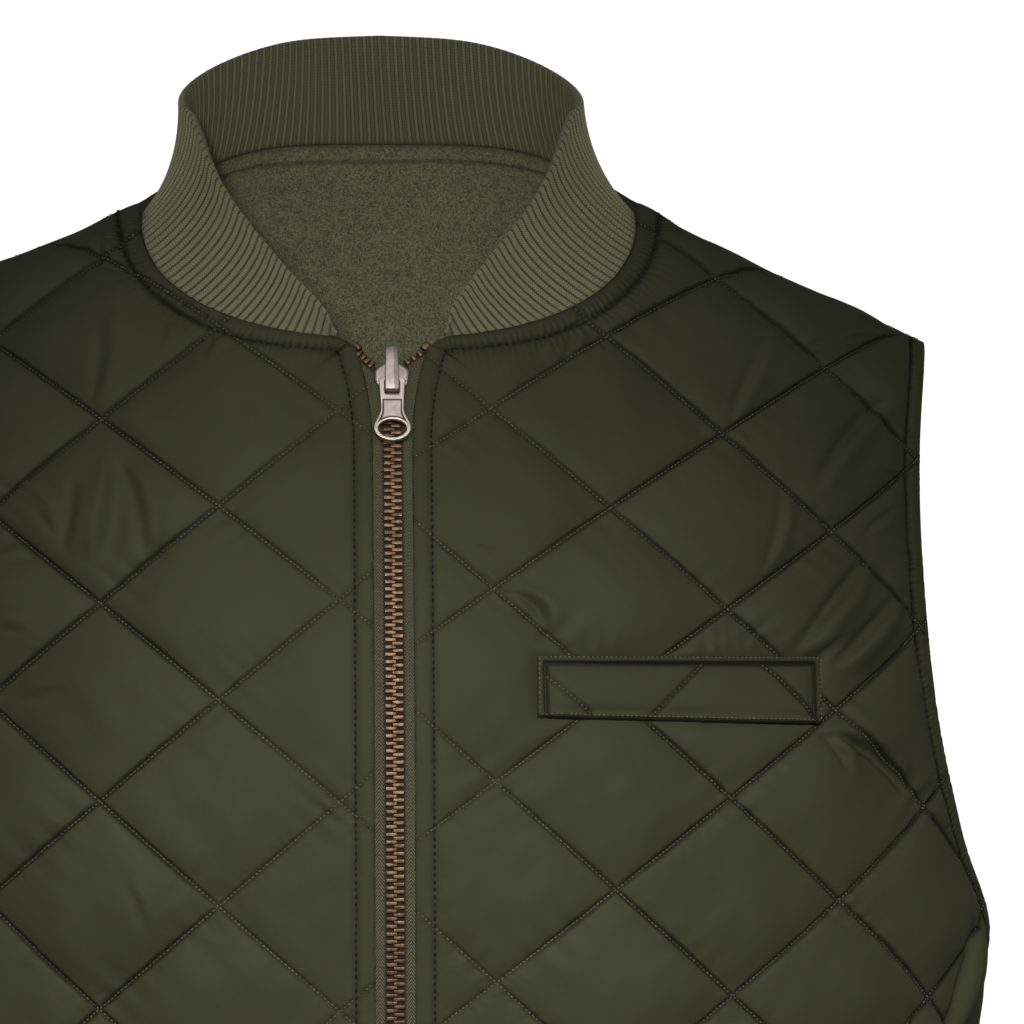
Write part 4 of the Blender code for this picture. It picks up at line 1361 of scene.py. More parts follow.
def build_shell(name, face, side, node):
    """Quilted shell of one panel with its edge turned in."""
    panel = ShellPanel(name, face, side)
    places, polygons = shell_mesh(panel)
    points = panel.points(places)
    rim_edges = open_edges(polygons)
    rim = sorted({i for edge in rim_edges for i in edge})
    rim_number = {i: len(points) + k for k, i in enumerate(rim)}
    on_zip = panel.edging(places[rim])[3] == EDGING_KINDS.index("zip")
    turned_points = raised(face, places[rim], np.where(on_zip, ZIP_TURN_LEVEL, SHELL_INNER))
    polygons += [[j, i, rim_number[i], rim_number[j]] for i, j in rim_edges]
    places = np.concatenate([places, places[rim]])
    inset, _, along, kinds = panel.edging(places)
    gathered = np.array([edging.gather for edging in EDGINGS.values()])[kinds]
    obj = add_piece(
        name, np.concatenate([points, turned_points]), polygons, "nylon", "shell", replaces=(node,),
        uvs={
            "pattern": places, "quilt": panel.lattice(places),
            "edging": np.stack([along, inset], axis=-1), "gather": np.stack([gathered, gathered], axis=-1),
        },
    )
    spread = np.ptp(panel.outline, axis=0)
    float(outline_area(panel.outline))
    return panel


def polygon_facing(places, polygons, sign):
    """Polygons all listed in one direction round, as seen on the cut piece."""
    turn = outline_area(places[polygons[0]], signed=True)
    if turn * sign < 0:
        return [polygon[::-1] for polygon in polygons]
    return polygons


def outline_area(outline, signed=False):
    x, y = outline.T
    area = 0.5 * float(np.sum(x * np.roll(y, -1) - y * np.roll(x, -1)))
    return area if signed else abs(area)


# Stitches


def quilt_stitches(panel):
    """Places of the quilting stitches and a place just after each, along its line."""
    low, high = panel.line_range()
    step = sizes().quilt_pitch / QUILT_SIDE
    probe, edge_gap, welt_gap = 0.02, 0.0012, 0.0005
    starts, ends = [], []
    for family in (0, 1):
        other = 1 - family
        track = np.arange(low[other], high[other], step)
        for line in range(low[family], high[family] + 1):
            lattice = np.empty((len(track), 2))
            lattice[:, family] = line
            lattice[:, other] = track + step * float(chance_of(np.array(line), np.array(family)))
            after = lattice.copy()
            after[:, other] += probe
            starts.append(panel.place(lattice))
            ends.append(panel.place(after))
    places, after = np.concatenate(starts), np.concatenate(ends)
    clear = outline_level(places, panel.outline) < -edge_gap
    clear &= panel.welt_distance(places) > welt_gap
    return places[clear], after[clear]


def edge_stitches(panel):
    """Places of the topstitches and a place just after each."""
    pitch, probe, deeper, slack = sizes().edge_pitch, 0.001, 0.003, 0.0004
    starts, ends = [], []
    for kind, line in panel.edges:
        if kind not in EDGINGS:
            continue
        lengths = running_total(np.hypot(*np.diff(line, axis=0).T))
        track = np.arange(pitch / 2, lengths[-1], pitch)
        behind, path, ahead = (
            np.stack([np.interp(track + shift, lengths, column) for column in line.T], axis=-1)
            for shift in (-probe, 0.0, probe)
        )
        run = unit(ahead - behind)
        inward = np.stack([-run[:, 1], run[:, 0]], axis=-1)
        if not inside_outline(path + inward * deeper, panel.outline)[len(path) // 2]:
            inward = -inward
        places = path + inward * np.reshape(edging_width(kind, path), (-1, 1))
        starts.append(places)
        ends.append(places + run * probe)
    places, after = np.concatenate(starts), np.concatenate(ends)
    keep = inside_outline(places, panel.outline) & (np.abs(panel.edging(places)[0]) < slack)
    return places[keep], after[keep]


def sew(name, face, points_at, stitches, length, thread, finish_name="thread", lift=STITCH_LIFT):
    """Stitches on a cloth whose points points_at gives, raised by lift."""
    places, after = stitches
    here = points_at(places, lift)
    along = unit(points_at(after, lift) - here)
    size = (thread, length, thread * THREAD_FLATNESS)
    repeat_shape(
        name, here, along, outward(face, *places.T), bead_shape(), size, finish_name,
        uneven=STITCH_UNEVENNESS,
    )


def sew_panel(panel, node):
    """Quilting stitches and topstitches of one panel."""
    size = sizes()
    sew(
        f"stitches_quilt_{node}", panel.face, panel.points, quilt_stitches(panel),
        size.quilt_pitch * QUILT_STITCH, size.thread,
    )
    sew(
        f"stitches_edge_{node}", panel.face, panel.points, edge_stitches(panel),
        size.edge_pitch * EDGE_STITCH, size.thread * EDGE_THREAD, "edge_thread",
    )


# Fleece lining


def lining_grid(face, side):
    """Grid of places on one half of the lining: rows from the hem up, columns from the centre out."""
    front = face == "front"
    neck_steps, side_steps, armhole_steps = 26, 34, 60
    shoulder_steps = 40 if front else 18
    neck = neck_edge(face, side, neck_steps)
    shoulder = shoulder_edge(face, side, shoulder_steps)
    outer = np.concatenate([side_edge(face, side, side_steps), armhole_edge(face, side, armhole_steps)[1:]])
    if front:
        climb = 1 - (1 - np.linspace(0.0, 1.0, armhole_steps - neck_steps + 1)) ** 1.5
    else:
        climb = gentle_climb(armhole_steps)
    low = np.linspace(HEM_LEVEL, UNDERARM_LEVEL, side_steps + 1)
    up = np.concatenate([low, UNDERARM_LEVEL + (neck[0, 1] - UNDERARM_LEVEL) * climb[1:]])
    if front:
        edge = np.stack([side * front_edge(up, neck[0, 1]), up], axis=-1)
        centre = np.concatenate([edge, neck[1:]])
        top, power = shoulder, 3
    else:
        centre = np.stack([np.zeros_like(up), up], axis=-1)
        top, power = np.concatenate([neck, shoulder[1:]]), 1
    u = np.linspace(0.0, 1.0, len(top))[:, None]
    rows = (1 - u) * centre[:, None] + u * outer[:, None]
    level = (centre[:, 1] + outer[:, 1]) / 2
    share = (level - level[0]) / (level[-1] - level[0])
    return rows + share[:, None, None] ** power * (top - rows[-1])


def build_lining(name, face, side, node):
    """Fleece wall inside one panel, with soft lumps on its inner face."""
    if face == "front":
        grid = lining_grid(face, side)
    else:
        grid = np.concatenate([lining_grid(face, -1)[:, ::-1], lining_grid(face, 1)[:, 1:]], axis=1)
    places = grid.reshape(-1, 2)
    edges = panel_edges(face, side)
    to_neck = edge_distance(places, edges, "neck")
    to_edge = edge_distance(places, edges)
    uneven = np.clip(lumps(places, FLEECE_LUMPS), -0.001, 0.0012) * soft_step(to_edge, 0.0, 0.015)
    outer, inner = (raised(face, places, level) for level in (LINING_OUTER, LINING_INNER - uneven))
    points, polygons = wall_grid(outer, inner, *grid.shape[:2])
    from_neck = np.tile(np.column_stack([to_neck, to_edge]), (2, 1))
    obj = add_piece(
        name, points, polygons, "fleece", "fleece", replaces=(node,), sharp=50, uvs={"neck": from_neck}
    )
    turn_outward(obj)
    outline = np.concatenate([line[:-1] for _, line in edges])
    float(outline_area(outline))


# Rib collar


class CollarHalf:
    """Half of the collar from its front end to the centre back."""

    def __init__(self, side):
        points, normals = [], []
        for face in ("front", "back"):
            places = neck_edge(face, side, 90)
            if face == "back":
                places = places[::-1][1:]
            points.append(drape(face, *places.T))
            normals.append(outward(face, *places.T))
        points, normals = np.concatenate(points), np.concatenate(normals)
        beyond = np.argmax(np.abs(points[:, 0]) > COLLAR_START)
        points, normals = points[beyond:], normals[beyond:]
        lengths = np.linalg.norm(np.diff(points, axis=0), axis=1)
        self.length = lengths.sum()
        self.share = running_total(lengths) / self.length
        height, inset, bend = (smooth_rows(self.share, COLLAR) * self.closing()).T
        inward = unit(COLLAR_AXIS - points * (1, 1, 0))
        rise = np.array((0.0, 0.0, 1.0))
        sideways = COLLAR_SHIFT * np.minimum(height / COLLAR_SHIFT_RISE, 1.0)[:, None] * np.array(X_AXIS)
        self.seam = points - 0.0012 * normals + 0.0004 * inward
        self.bend = points + (bend * inset)[:, None] * inward + COLLAR_BEND_HEIGHT * height[:, None] * rise
        self.bend += 0.6 * sideways
        self.fold = points + inset[:, None] * inward + height[:, None] * rise + sideways

    def closing(self):
        """Share of the height and inset that is left towards the pointed front end."""
        shrink = 0.3 + 0.7 * soft_step(self.share, 0.0, 0.03)
        return np.stack([shrink, shrink, np.ones_like(shrink)], axis=-1)

    def read(self, line, share):
        return np.stack([np.interp(share, self.share, column) for column in line.T], axis=-1)

    def point(self, share, w):
        w = w[..., None]
        return (
            (1 - w) ** 2 * self.read(self.seam, share) + 2 * w * (1 - w) * self.read(self.bend, share)
            + w ** 2 * self.read(self.fold, share)
        )


def collar_shares(around, w, length):
    """Share from the front end of each rib line: a slight bow, and a lean behind one shoulder."""
    share = 1 - np.abs(around)
    bow = 0.0052 * w * (1 - w) * soft_step(share, 0.0, 0.08) * (1 - soft_step(share, 0.4, 0.6))
    lean = 0.0065 * w * hump(share, 0.76, 0.11) * (around < 0)
    return np.clip(share + (bow + lean) / length, 0.0, 1.0)


def collar_leaf(halves, length, around, w):
    """Outer leaf: rows from the seam up to the fold, columns from one front end to the other."""
    grid_w, grid_around = np.meshgrid(w, around, indexing="ij")
    share = collar_shares(grid_around, grid_w, length)
    return np.where(
        (grid_around < 0)[..., None], halves[-1].point(share, grid_w), halves[1].point(share, grid_w)
    )


def collar_layers(leaf, around):
    """Both leaves and the rounded fold between them, and the direction out of the cloth at each point."""
    upward = np.gradient(leaf, axis=0)
    normals = unit(np.cross(upward, np.gradient(leaf, axis=1)))
    wall = (COLLAR_WALL * (0.25 + 0.75 * soft_step(1 - np.abs(around), 0.0, 0.06)))[:, None]
    turn = np.linspace(0.0, math.pi, FOLD_ROWS + 2)[1:-1, None, None]
    fold_out = np.cos(turn) * normals[-1] + np.sin(turn) * unit(upward[-1])
    fold = leaf[-1] - normals[-1] * wall / 2 + fold_out * wall / 2
    inner = (leaf - normals * wall)[::-1]
    return np.concatenate([leaf, fold, inner]), np.concatenate([normals, fold_out, -normals[::-1]])


def rib_relief(columns, w):
    """Height of the ribs out from the smooth collar: valleys outside, ridges inside the fold."""
    phase = np.arange(columns) % RIB_STEPS / RIB_STEPS
    between = hump(np.minimum(phase, 1 - phase), 0.0, 0.13)
    reach = np.concatenate([w, np.ones(FOLD_ROWS), w[::-1]])
    inside = np.concatenate([np.zeros(LEAF_ROWS), np.linspace(0.0, 1.0, FOLD_ROWS), np.ones(LEAF_ROWS)])
    depth = sizes().rib_depth * soft_step(reach, 0.0, 0.1) * (1 - 0.5 * soft_step(reach, 0.85, 1.0))
    fullness = 0.0003 * np.sin(math.pi * reach)
    return fullness[:, None] + (depth * (1.6 * inside - 1))[:, None] * between


def collar_quads(rows, columns):
    """Quads of the folded collar, closed along its seam and at both front ends."""
    quads = grid_quads(rows, columns)
    last = (rows - 1) * columns
    quads += [[i + 1, i, last + i, last + i + 1] for i in range(columns - 1)]
    for k in range(rows // 2 - 1):
        low, high = k * columns, (rows - 1 - k) * columns
        quads.append([low, low + columns, high - columns, high])
        low, high = low + columns - 1, high + columns - 1
        quads.append([low + columns, low, high, high - columns])
    return quads


def build_collar():
    """Rib collar folded double: outer leaf, rounded fold and inner leaf."""
    halves = {side: CollarHalf(side) for side in (-1, 1)}
    length = (halves[-1].length + halves[1].length) / 2
    columns = int(round(2 * length / sizes().rib_pitch)) * RIB_STEPS + 1
    around = np.linspace(-1.0, 1.0, columns)
    w = np.linspace(0.0, 1.0, LEAF_ROWS)
    smooth, out = collar_layers(collar_leaf(halves, length, around, w), around)
    surface = smooth + out * rib_relief(columns, w)[..., None]
    rows = len(surface)
    every_fifth_rib = surface[:, ::5 * RIB_STEPS]
    run = running_total(np.linalg.norm(np.diff(every_fifth_rib, axis=0), axis=2).mean(axis=1))
    knit = np.broadcast_arrays(np.arange(columns) / RIB_STEPS, (run - run[rows // 2])[:, None])
    obj = add_piece(
        "rib_collar", surface.reshape(-1, 3), collar_quads(rows, columns), "rib", "rib",
        replaces=("collar",), uvs={"knit": np.stack(knit, axis=-1).reshape(-1, 2)},
    )
    turn_outward(obj)


# Pocket welt


def flap_shape(places):
    """Height of the pocket flap out from the form, and the distance from its sunk lines."""
    across, up = places.T
    width = WELT_RIGHT - WELT_LEFT
    x = across - WELT_LEFT
    from_low = up - WELT_LOW_LEFT - (WELT_LOW_RIGHT - WELT_LOW_LEFT) * x / width
    border = np.minimum(np.minimum(x, width - x), WELT_TOP - up)
    to_line = np.min([line_distance(places, np.array(line))[0] for line in WELT_LINES], axis=0)
    edge = np.clip(border / 0.0016, 0.0, 1.0)
    rounding = 0.0017 * np.sqrt(edge * (2 - edge))
    groove = 0.0024 * hump(border, WELT_BORDER, 0.00055)
    padding = 0.0019 * soft_step(border, WELT_BORDER, 0.01) * soft_step(from_low, 0.0006, 0.006)
    roll = 0.0014 * hump(from_low, 0.0014, 0.0013) * soft_step(border, 0.001, 0.003)
    tuck = 0.0019 * (1 - soft_step(from_low, 0.0, 0.0009))
    quilting = 0.0009 * np.exp(-to_line / 0.0016) * soft_step(border, WELT_BORDER, 0.0046)
    uneven = lumps(places, FLAP_LUMPS) * soft_step(border, 0.0, 0.004)
    height = FLAP_LEVEL + rounding - groove + padding + roll - tuck - quilting + uneven
    return height, np.minimum(to_line, np.abs(border - WELT_BORDER))


def flap_points(places, lift=0.0):
    return raised("front", places, flap_shape(places)[0] + lift)


def flap_stitches():
    """Places of the stitches round the flap and along its quilting, and a place just after each."""
    side_gap, low_gap, step = 0.0008, 0.0014, 0.0004
    left, right, top = WELT_LEFT + side_gap, WELT_RIGHT - side_gap, WELT_TOP - side_gap
    corners = (
        (left, WELT_LOW_LEFT + low_gap), (left, top), (right, top), (right, WELT_LOW_RIGHT + low_gap),
    )
    border = zip(corners, (*corners[1:], corners[0]))
    places, after = [], []
    for line in (*border, *WELT_LINES):
        start, end = np.array(line)
        count = int(np.hypot(*(end - start)) / sizes().quilt_pitch)
        stitch = start + ((np.arange(count) + 0.5) / count)[:, None] * (end - start)
        places.append(stitch)
        after.append(stitch + step * unit(end - start))
    return np.concatenate(places), np.concatenate(after)


def build_welt():
    """Flap of the chest pocket with its stitched border, own quilting and raised lower edge."""
    width, drop = WELT_RIGHT - WELT_LEFT, WELT_TOP - WELT_LOW_LEFT
    near_edge = np.array((0.0, 0.0004, 0.001, 0.0017, 0.0024, 0.0029, 0.0034, 0.0039, 0.0045, 0.0055))
    near_low = np.array((0.004, 0.003, 0.0022, 0.0015, 0.0009, 0.0004, 0.0))
    between = np.linspace(0.0075, width - 0.0075, 70)
    ticks = np.concatenate([near_edge, between, width - near_edge[::-1]]) / width
    down = np.concatenate([near_edge, np.linspace(0.0072, drop - 0.0054, 8), drop - near_low]) / drop
    share, fall = np.meshgrid(ticks, down, indexing="ij")
    drops = drop + (WELT_LOW_LEFT - WELT_LOW_RIGHT) * share
    places = np.stack([WELT_LEFT + width * share, WELT_TOP - fall * drops], axis=-1).reshape(-1, 2)
    polygons = polygon_facing(places, grid_quads(len(ticks), len(down)), FACING["front"])
    obj = add_piece(
        "pocket_flap", flap_points(places), polygons, "nylon", "shell", replaces=("pocket_welt",),
        uvs={
            "pattern": places, "quilt": np.full_like(places, 0.5),
            "edging": np.stack([places[:, 0], flap_shape(places)[1]], axis=-1),
            "gather": np.zeros_like(places),
        },
    )
    sew(
        "stitches_pocket", "front", flap_points, flap_stitches(), sizes().quilt_pitch * FLAP_STITCH,
        sizes().thread, lift=FLAP_STITCH_LIFT,
    )


# Zip


def zip_normal(up):
    """Outward direction of the zip, square to its teeth."""
    normal = outward("front", np.zeros_like(up), up)
    normal[..., 0] = 0.0
    return unit(normal)


def zip_points(x, up, out):
    """Points of the zip, x from the centre line and out from the form."""
    x, up = np.broadcast_arrays(np.asarray(x, float), np.asarray(up, float))
    points = drape("front", np.zeros_like(up), up) + zip_normal(up) * np.asarray(out)[..., None]
    points[..., 0] = x
    return points


def row_split(up, side):
    """Distance of a row of teeth from the centre line, above the slider."""
    rows = ROW_SPLITS[side]
    return smooth_rows(np.clip(up, rows[0][0], rows[-1][0]), rows)[..., 0]


def build_tapes():
    """Two woven tapes from under the teeth to under the fronts' edges."""
    for name, side in (("zip_tape_left", 1), ("zip_tape_right", -1)):
        edge = zip_edge(side, 60)
        top = edge[-1, 1] - TAPE_TOP_GAP
        up = np.concatenate([np.linspace(HEM_LEVEL, -0.075, 60), np.linspace(-0.073, top, 26)])
        inner = row_split(up, side) + TAPE_INNER
        outer = np.maximum(np.interp(up, edge[:, 1], np.abs(edge[:, 0])) + TAPE_UNDER, inner + 0.001)
        x = inner[:, None] + (outer - inner)[:, None] * np.linspace(0.0, 1.0, 7)
        ups = np.broadcast_to(up[:, None], x.shape)
        faces = (
            zip_points(side * x, ups, np.full(x.shape, TAPE_DEPTH + out * TAPE_WALL / 2)) for out in (1, -1)
        )
        points, polygons = wall_grid(*faces, *x.shape)
        places = np.stack([x - inner[:, None], ups], axis=-1).reshape(-1, 2)
        obj = add_piece(
            name + "_woven", points, polygons, "tape", "tape", replaces=(name,), sharp=50,
            uvs={"pattern": np.concatenate([places, places])},
        )
        turn_outward(obj)
        float(np.mean(outer - inner))


def tooth_shape():
    """One tooth: a rounded bar along x, from its smaller head out to the tape."""
    shape = bmesh.new()
    bmesh.ops.create_cube(shape, size=1.0)
    bmesh.ops.scale(shape, vec=TOOTH_SIZE, verts=shape.verts)
    for vert in shape.verts:
        if vert.co.x < 0:
            vert.co.yz = (vert.co.y * TOOTH_HEAD[0], vert.co.z * TOOTH_HEAD[1])
    bmesh.ops.bevel(
        shape, geom=shape.edges[:], offset=TOOTH_BEVEL, segments=2, profile=0.6, affect="EDGES",
        clamp_overlap=True,
    )
    bmesh.ops.translate(shape, vec=(sum(TOOTH_REACH) / 2, 0.0, 0.0), verts=shape.verts)
    return mesh_of("tooth_shape", shape)


def build_teeth():
    """Both rows of teeth, closed below the slider and parting above it."""
    low = HEM_LEVEL + BOX_HEIGHT + 0.001
    for name, side in (("zip_teeth_left", 1), ("zip_teeth_right", -1)):
        offset = 0.0 if side > 0 else TOOTH_PITCH / 2
        closed = np.arange(low + offset, CHAIN_TOP, TOOTH_PITCH)
        replaced = ("zip_chain", "zip_top_left") if side > 0 else ("zip_top_right",)
        build_tooth_row(name, side, closed, 1.0, replaced)
        split = np.array(SPLIT_TEETH[side])
        build_tooth_row(name.replace("teeth", "split"), side, split, SPLIT_TOOTH, ())


def build_tooth_row(name, side, up, length, replaced):
    """Teeth at their places up the zip, each square to its row."""
    depth = np.full_like(up, TAPE_DEPTH)
    here, ahead = (
        zip_points(side * row_split(level, side), level, depth) for level in (up, up + TOOTH_PROBE)
    )
    along = unit(ahead - here) * side
    repeat_shape(
        name, here, along, zip_normal(up), tooth_shape(), (length, 1.0, 1.0), "brass", replaced
    )


def rounded_box(name, size, place, finish_name, slot, bevel, replaces=()):
    """Bevelled block in a frame of its own."""
    shape = bmesh.new()
    bmesh.ops.create_cube(shape, size=1.0)
    bmesh.ops.scale(shape, vec=size, verts=shape.verts)
    bmesh.ops.bevel(shape, geom=shape.edges[:], offset=bevel, segments=3, profile=0.5, affect="EDGES")
    bmesh.ops.transform(shape, matrix=place, verts=shape.verts)
    return mesh_piece(name, mesh_of(name, shape), finish_name, slot, replaces=replaces, sharp=40)


def zip_frame(up, x=0.0, turn=0.0):
    """Frame on the zip: x across, y up along it and z out of the vest."""
    centre = Vector(zip_points(x, up, TAPE_DEPTH))
    out = Vector(zip_normal(np.array(up)))
    along = out.cross(X_AXIS).normalized()
    axes = Matrix((X_AXIS, along, out)).transposed().to_4x4()
    return Matrix.Translation(centre) @ axes @ Matrix.Rotation(turn, 4, "Z")


def build_zip_ends():
    """Box at the foot of the zip and the stop above each row."""
    frame_low = zip_frame(HEM_LEVEL + BOX_HEIGHT / 2)
    rounded_box(
        "zip_foot_box", (2 * CHAIN_HALF, BOX_HEIGHT, BOX_DEPTH), frame_low, "brass", "teeth", bevel=0.0011,
        replaces=("zip_box",),
    )
    for name, side, width in (("zip_stop_left", 1, 0.0034), ("zip_stop_right", -1, 0.0024)):
        place = zip_frame(STOP_UP, side * STOP_ASIDE, side * STOP_LEAN)
        rounded_box(name, (width, 0.004, 0.0028), place, "brass", "teeth", bevel=0.0008)


def placed(points, place):
    """Points of a frame of their own as points of the vest."""
    frame_axes = np.array(place)
    return points @ frame_axes[:3, :3].T + frame_axes[:3, 3]


def plate_mesh(name, size, step, level, front, back, place, body="vest", replaces=()):
    """Closed plate where level is below zero, between the heights of its front and back."""
    x = np.arange(size[0], size[1] + step, step)
    y = np.arange(size[2], size[3] + step, step)
    places = np.stack(np.meshgrid(x, y, indexing="ij"), axis=-1).reshape(-1, 2)
    far = level(places)
    keep = far < 2 * step
    quads = [quad for quad in grid_quads(len(x), len(y)) if keep[quad].all() and min(far[quad]) < 0]
    places, polygons = drop_unused(places, quads)
    places, polygons = cut_along(places, polygons, level(places), snap=METAL_SNAP)
    places, polygons = drop_unused(places, polygons)
    inside = np.maximum(-level(places), 0.0)
    points = np.concatenate([np.column_stack([places, face(places, inside)]) for face in (front, back)])
    faces = closed_wall(polygon_facing(places, polygons, 1.0), len(places))
    obj = add_piece(
        name, placed(points, place), faces, "slider", "slider", body=body, replaces=replaces, sharp=48
    )
    turn_outward(obj)
    return obj, np.tile(places, (2, 1)), np.tile(inside, 2)


def box_level(places, centre, half, rounding):
    """Distance from a rounded box, below zero inside."""
    away = np.abs(places - centre) - (np.array(half) - rounding)
    return np.hypot(*np.maximum(away, 0.0).T) + np.minimum(away.max(axis=1), 0.0) - rounding


def ellipse_level(places, centre, half):
    """About the distance from an ellipse, below zero inside."""
    relative = (places - centre) / half
    size = np.hypot(*relative.T) + 1e-9
    slope = np.hypot(*(relative / half).T) / size
    return (size - 1) / np.maximum(slope, 1e-6)


def blend_levels(first, second, reach):
    """Union of two shapes with a rounded inner corner."""
    share = np.clip(0.5 + 0.5 * (second - first) / reach, 0.0, 1.0)
    return second * (1 - share) + first * share - reach * share * (1 - share)


def pull_level(places):
    """Outline of the pull tab with its window and its oval hole, hinge at the origin and y upward."""
    y = places[:, 1]
    waist = PULL_HALF - PULL_WAIST * np.sin(np.clip(-y / PULL_WAIST_DOWN, 0.0, 1.0) * math.pi / 2)
    straight = places * np.stack([PULL_HALF / waist, np.ones_like(y)], axis=-1)
    body = box_level(straight, centre=(0.0, -0.0088), half=(PULL_HALF, 0.0102), rounding=0.0012)
    ring = ellipse_level(places, centre=(0.0, -0.021), half=np.array((0.0076, 0.0056)))
    solid = blend_levels(body, ring, reach=0.0045)
    window = box_level(places, centre=(0.0, -0.0027), half=(0.003, 0.0033), rounding=0.0008)
    hole = ellipse_level(places, centre=(0.0, -0.0212), half=np.array((0.0057, 0.004)))
    return np.maximum(np.maximum(solid, -window), -hole)


def build_pull():
    """Pull tab with raised rims round its outline, window and hole, and a sunk panel between them."""
    place = zip_frame(SLIDER_UP) @ Matrix.Translation((0.0, HINGE_ALONG, HINGE_OUT))

    def panel(places, inside):
        """Distance inside the sunk panel, below zero outside it."""
        return np.minimum(inside - 0.0011, -0.0082 - places[:, 1])

    def face(places, inside):
        rolled = 0.00026 * (1 - np.clip(inside / 0.00045, 0.0, 1.0)) ** 2
        sunk = 0.00042 * soft_step(panel(places, inside), -0.0001, 0.00016)
        return 0.0009 - rolled - sunk

    obj, places, inside = plate_mesh(
        "zip_pull_tab", (-0.0084, 0.0084, -0.03, 0.002), 0.00022, pull_level, face,
        lambda places, inside: -face(places, inside), place, "pull_tab", ("zip_pull",),
    )
    sunk = panel(places, inside)
    rim = 0.72 + 0.28 * (1 - soft_step(inside, 0.0002, 0.0006))
    rim *= 1 - soft_step(sunk, -0.0003, 0.0)
    add_wear_and_shadow(obj, rim + 0.5 * soft_step(sunk, 0.0003, 0.0007))


def slider_plate_level(places):
    """Outline of the slider's crown: wide shoulders, narrower below."""
    half = np.array((
        (0.0022, 0.0088), (0.006, 0.0062), (0.0068, 0.0048), (0.0067, 0.0012), (0.0052, -0.0012),
        (0.0043, -0.0075),
    ))
    return outline_level(places, np.concatenate([half, half[::-1] * (-1, 1)])) - 0.0003


def build_slider():
    """Slider: two crowned plates joined by a wedge, and a ridged rail that loops over both sides."""
    place = zip_frame(SLIDER_UP)

    def crown(places, inside):
        rolled = 0.0007 * (1 - np.clip(inside / 0.001, 0.0, 1.0)) ** 2
        return 0.00285 - rolled + 0.0002 * soft_step(inside, 0.001, 0.004)

    def grooved(places, inside):
        """Crown with a round groove in which the pull's upper end turns."""
        from_hinge = places[:, 1] - HINGE_ALONG
        groove = HINGE_OUT - np.sqrt(np.maximum(PULL_REACH ** 2 - from_hinge ** 2, 0.0))
        return np.minimum(crown(places, inside), groove)

    size, step = (-0.0078, 0.0078, -0.0084, 0.0096), 0.0004
    obj, places, inside = plate_mesh(
        "slider_front_plate", size, step, slider_plate_level, grooved,
        lambda places, inside: np.full(len(places), SLIDER_GAP), place, replaces=("zip_slider",),
    )
    # Painted shadow of the pull: the front plate takes the darkest tone under the pull's window.
    pull_shadow_box = box_level(places, centre=(0.0, -0.0036), half=(0.0042, 0.0046), rounding=0.0005)
    rubbed = 0.45 + 0.35 * (1 - soft_step(inside, 0.0003, 0.0014))
    add_wear_and_shadow(obj, rubbed * soft_step(pull_shadow_box, -0.0004, 0.0004))
    obj, _, inside = plate_mesh(
        "slider_back_plate", size, step, slider_plate_level,
        lambda places, inside: np.full(len(places), -SLIDER_GAP),
        lambda places, inside: -crown(places, inside), place,
    )
    add_wear_and_shadow(obj, 0.35 + 0.4 * (1 - soft_step(inside, 0.0003, 0.0014)))
    wedge = rounded_box(
        "slider_wedge", (0.0026, 0.005, 0.0042), place @ Matrix.Translation((0.0, 0.0055, 0.0)), "slider",
        "slider", 0.0005,
    )
    # The wedge takes the darkest tone all over.
    add_wear_and_shadow(wedge, np.zeros(len(wedge.data.vertices)))
    build_rail(place)


def build_rail(place):
    """Ridged bar that holds the pull, from the front plate over the top to the back plate."""
    half_path = np.array((
        (-0.004, 0.0022), (-0.0048, 0.0034), (-0.0048, 0.0046), (-0.0042, 0.0056), (-0.0028, 0.0059),
        (0.0, 0.006), (0.0045, 0.006), (0.009, 0.006), (0.0127, 0.0058), (0.0145, 0.0051),
        (0.0154, 0.0038), (0.0157, 0.002),
    ))
    path = np.concatenate([half_path, half_path[::-1] * (1, -1)])
    run = np.gradient(path, axis=0)
    out = unit(np.stack([-run[:, 1], run[:, 0]], axis=-1))
    section = np.array((
        (-0.0025, -0.0004), (-0.0026, 0.0001), (-0.0024, 0.0003), (0.0006, 0.00052), (0.0008, 0.00053),
        (0.001, 0.00047), (0.0024, 0.0001), (0.0026, -0.0001), (0.0025, -0.0004), (0.0, -0.0006),
    ))
    # Tones round the rail's section are painted light and shade: one facet lighter than the other, a dark
    # line along the ridge, and the sides and underside darkest.
    section_wear_and_shade = (0.2, 0.4, 0.55, 0.6, 0.35, 0.7, 0.75, 0.4, 0.2, 0.1)
    rings = []
    for (y, z), normal in zip(path, out):
        width = 1.0 + 0.1 * (0.006 - y) / 0.012
        across, height = section.T
        rings.append(np.column_stack([across * width, y + height * normal[0], z + height * normal[1]]))
    count, last = len(section), (len(path) - 1) * len(section)
    quads = [list(range(count))[::-1], list(range(last, last + count))]
    for start in range(0, last, count):
        for i in range(count):
            j = (i + 1) % count
            quads.append([start + i, start + j, start + count + j, start + count + i])
    points = placed(np.concatenate(rings), place)
    obj = add_piece("slider_rail", points, quads, "slider", "slider", sharp=28)
    turn_outward(obj)
    add_wear_and_shadow(obj, np.tile(section_wear_and_shade, len(path)))


# Stage


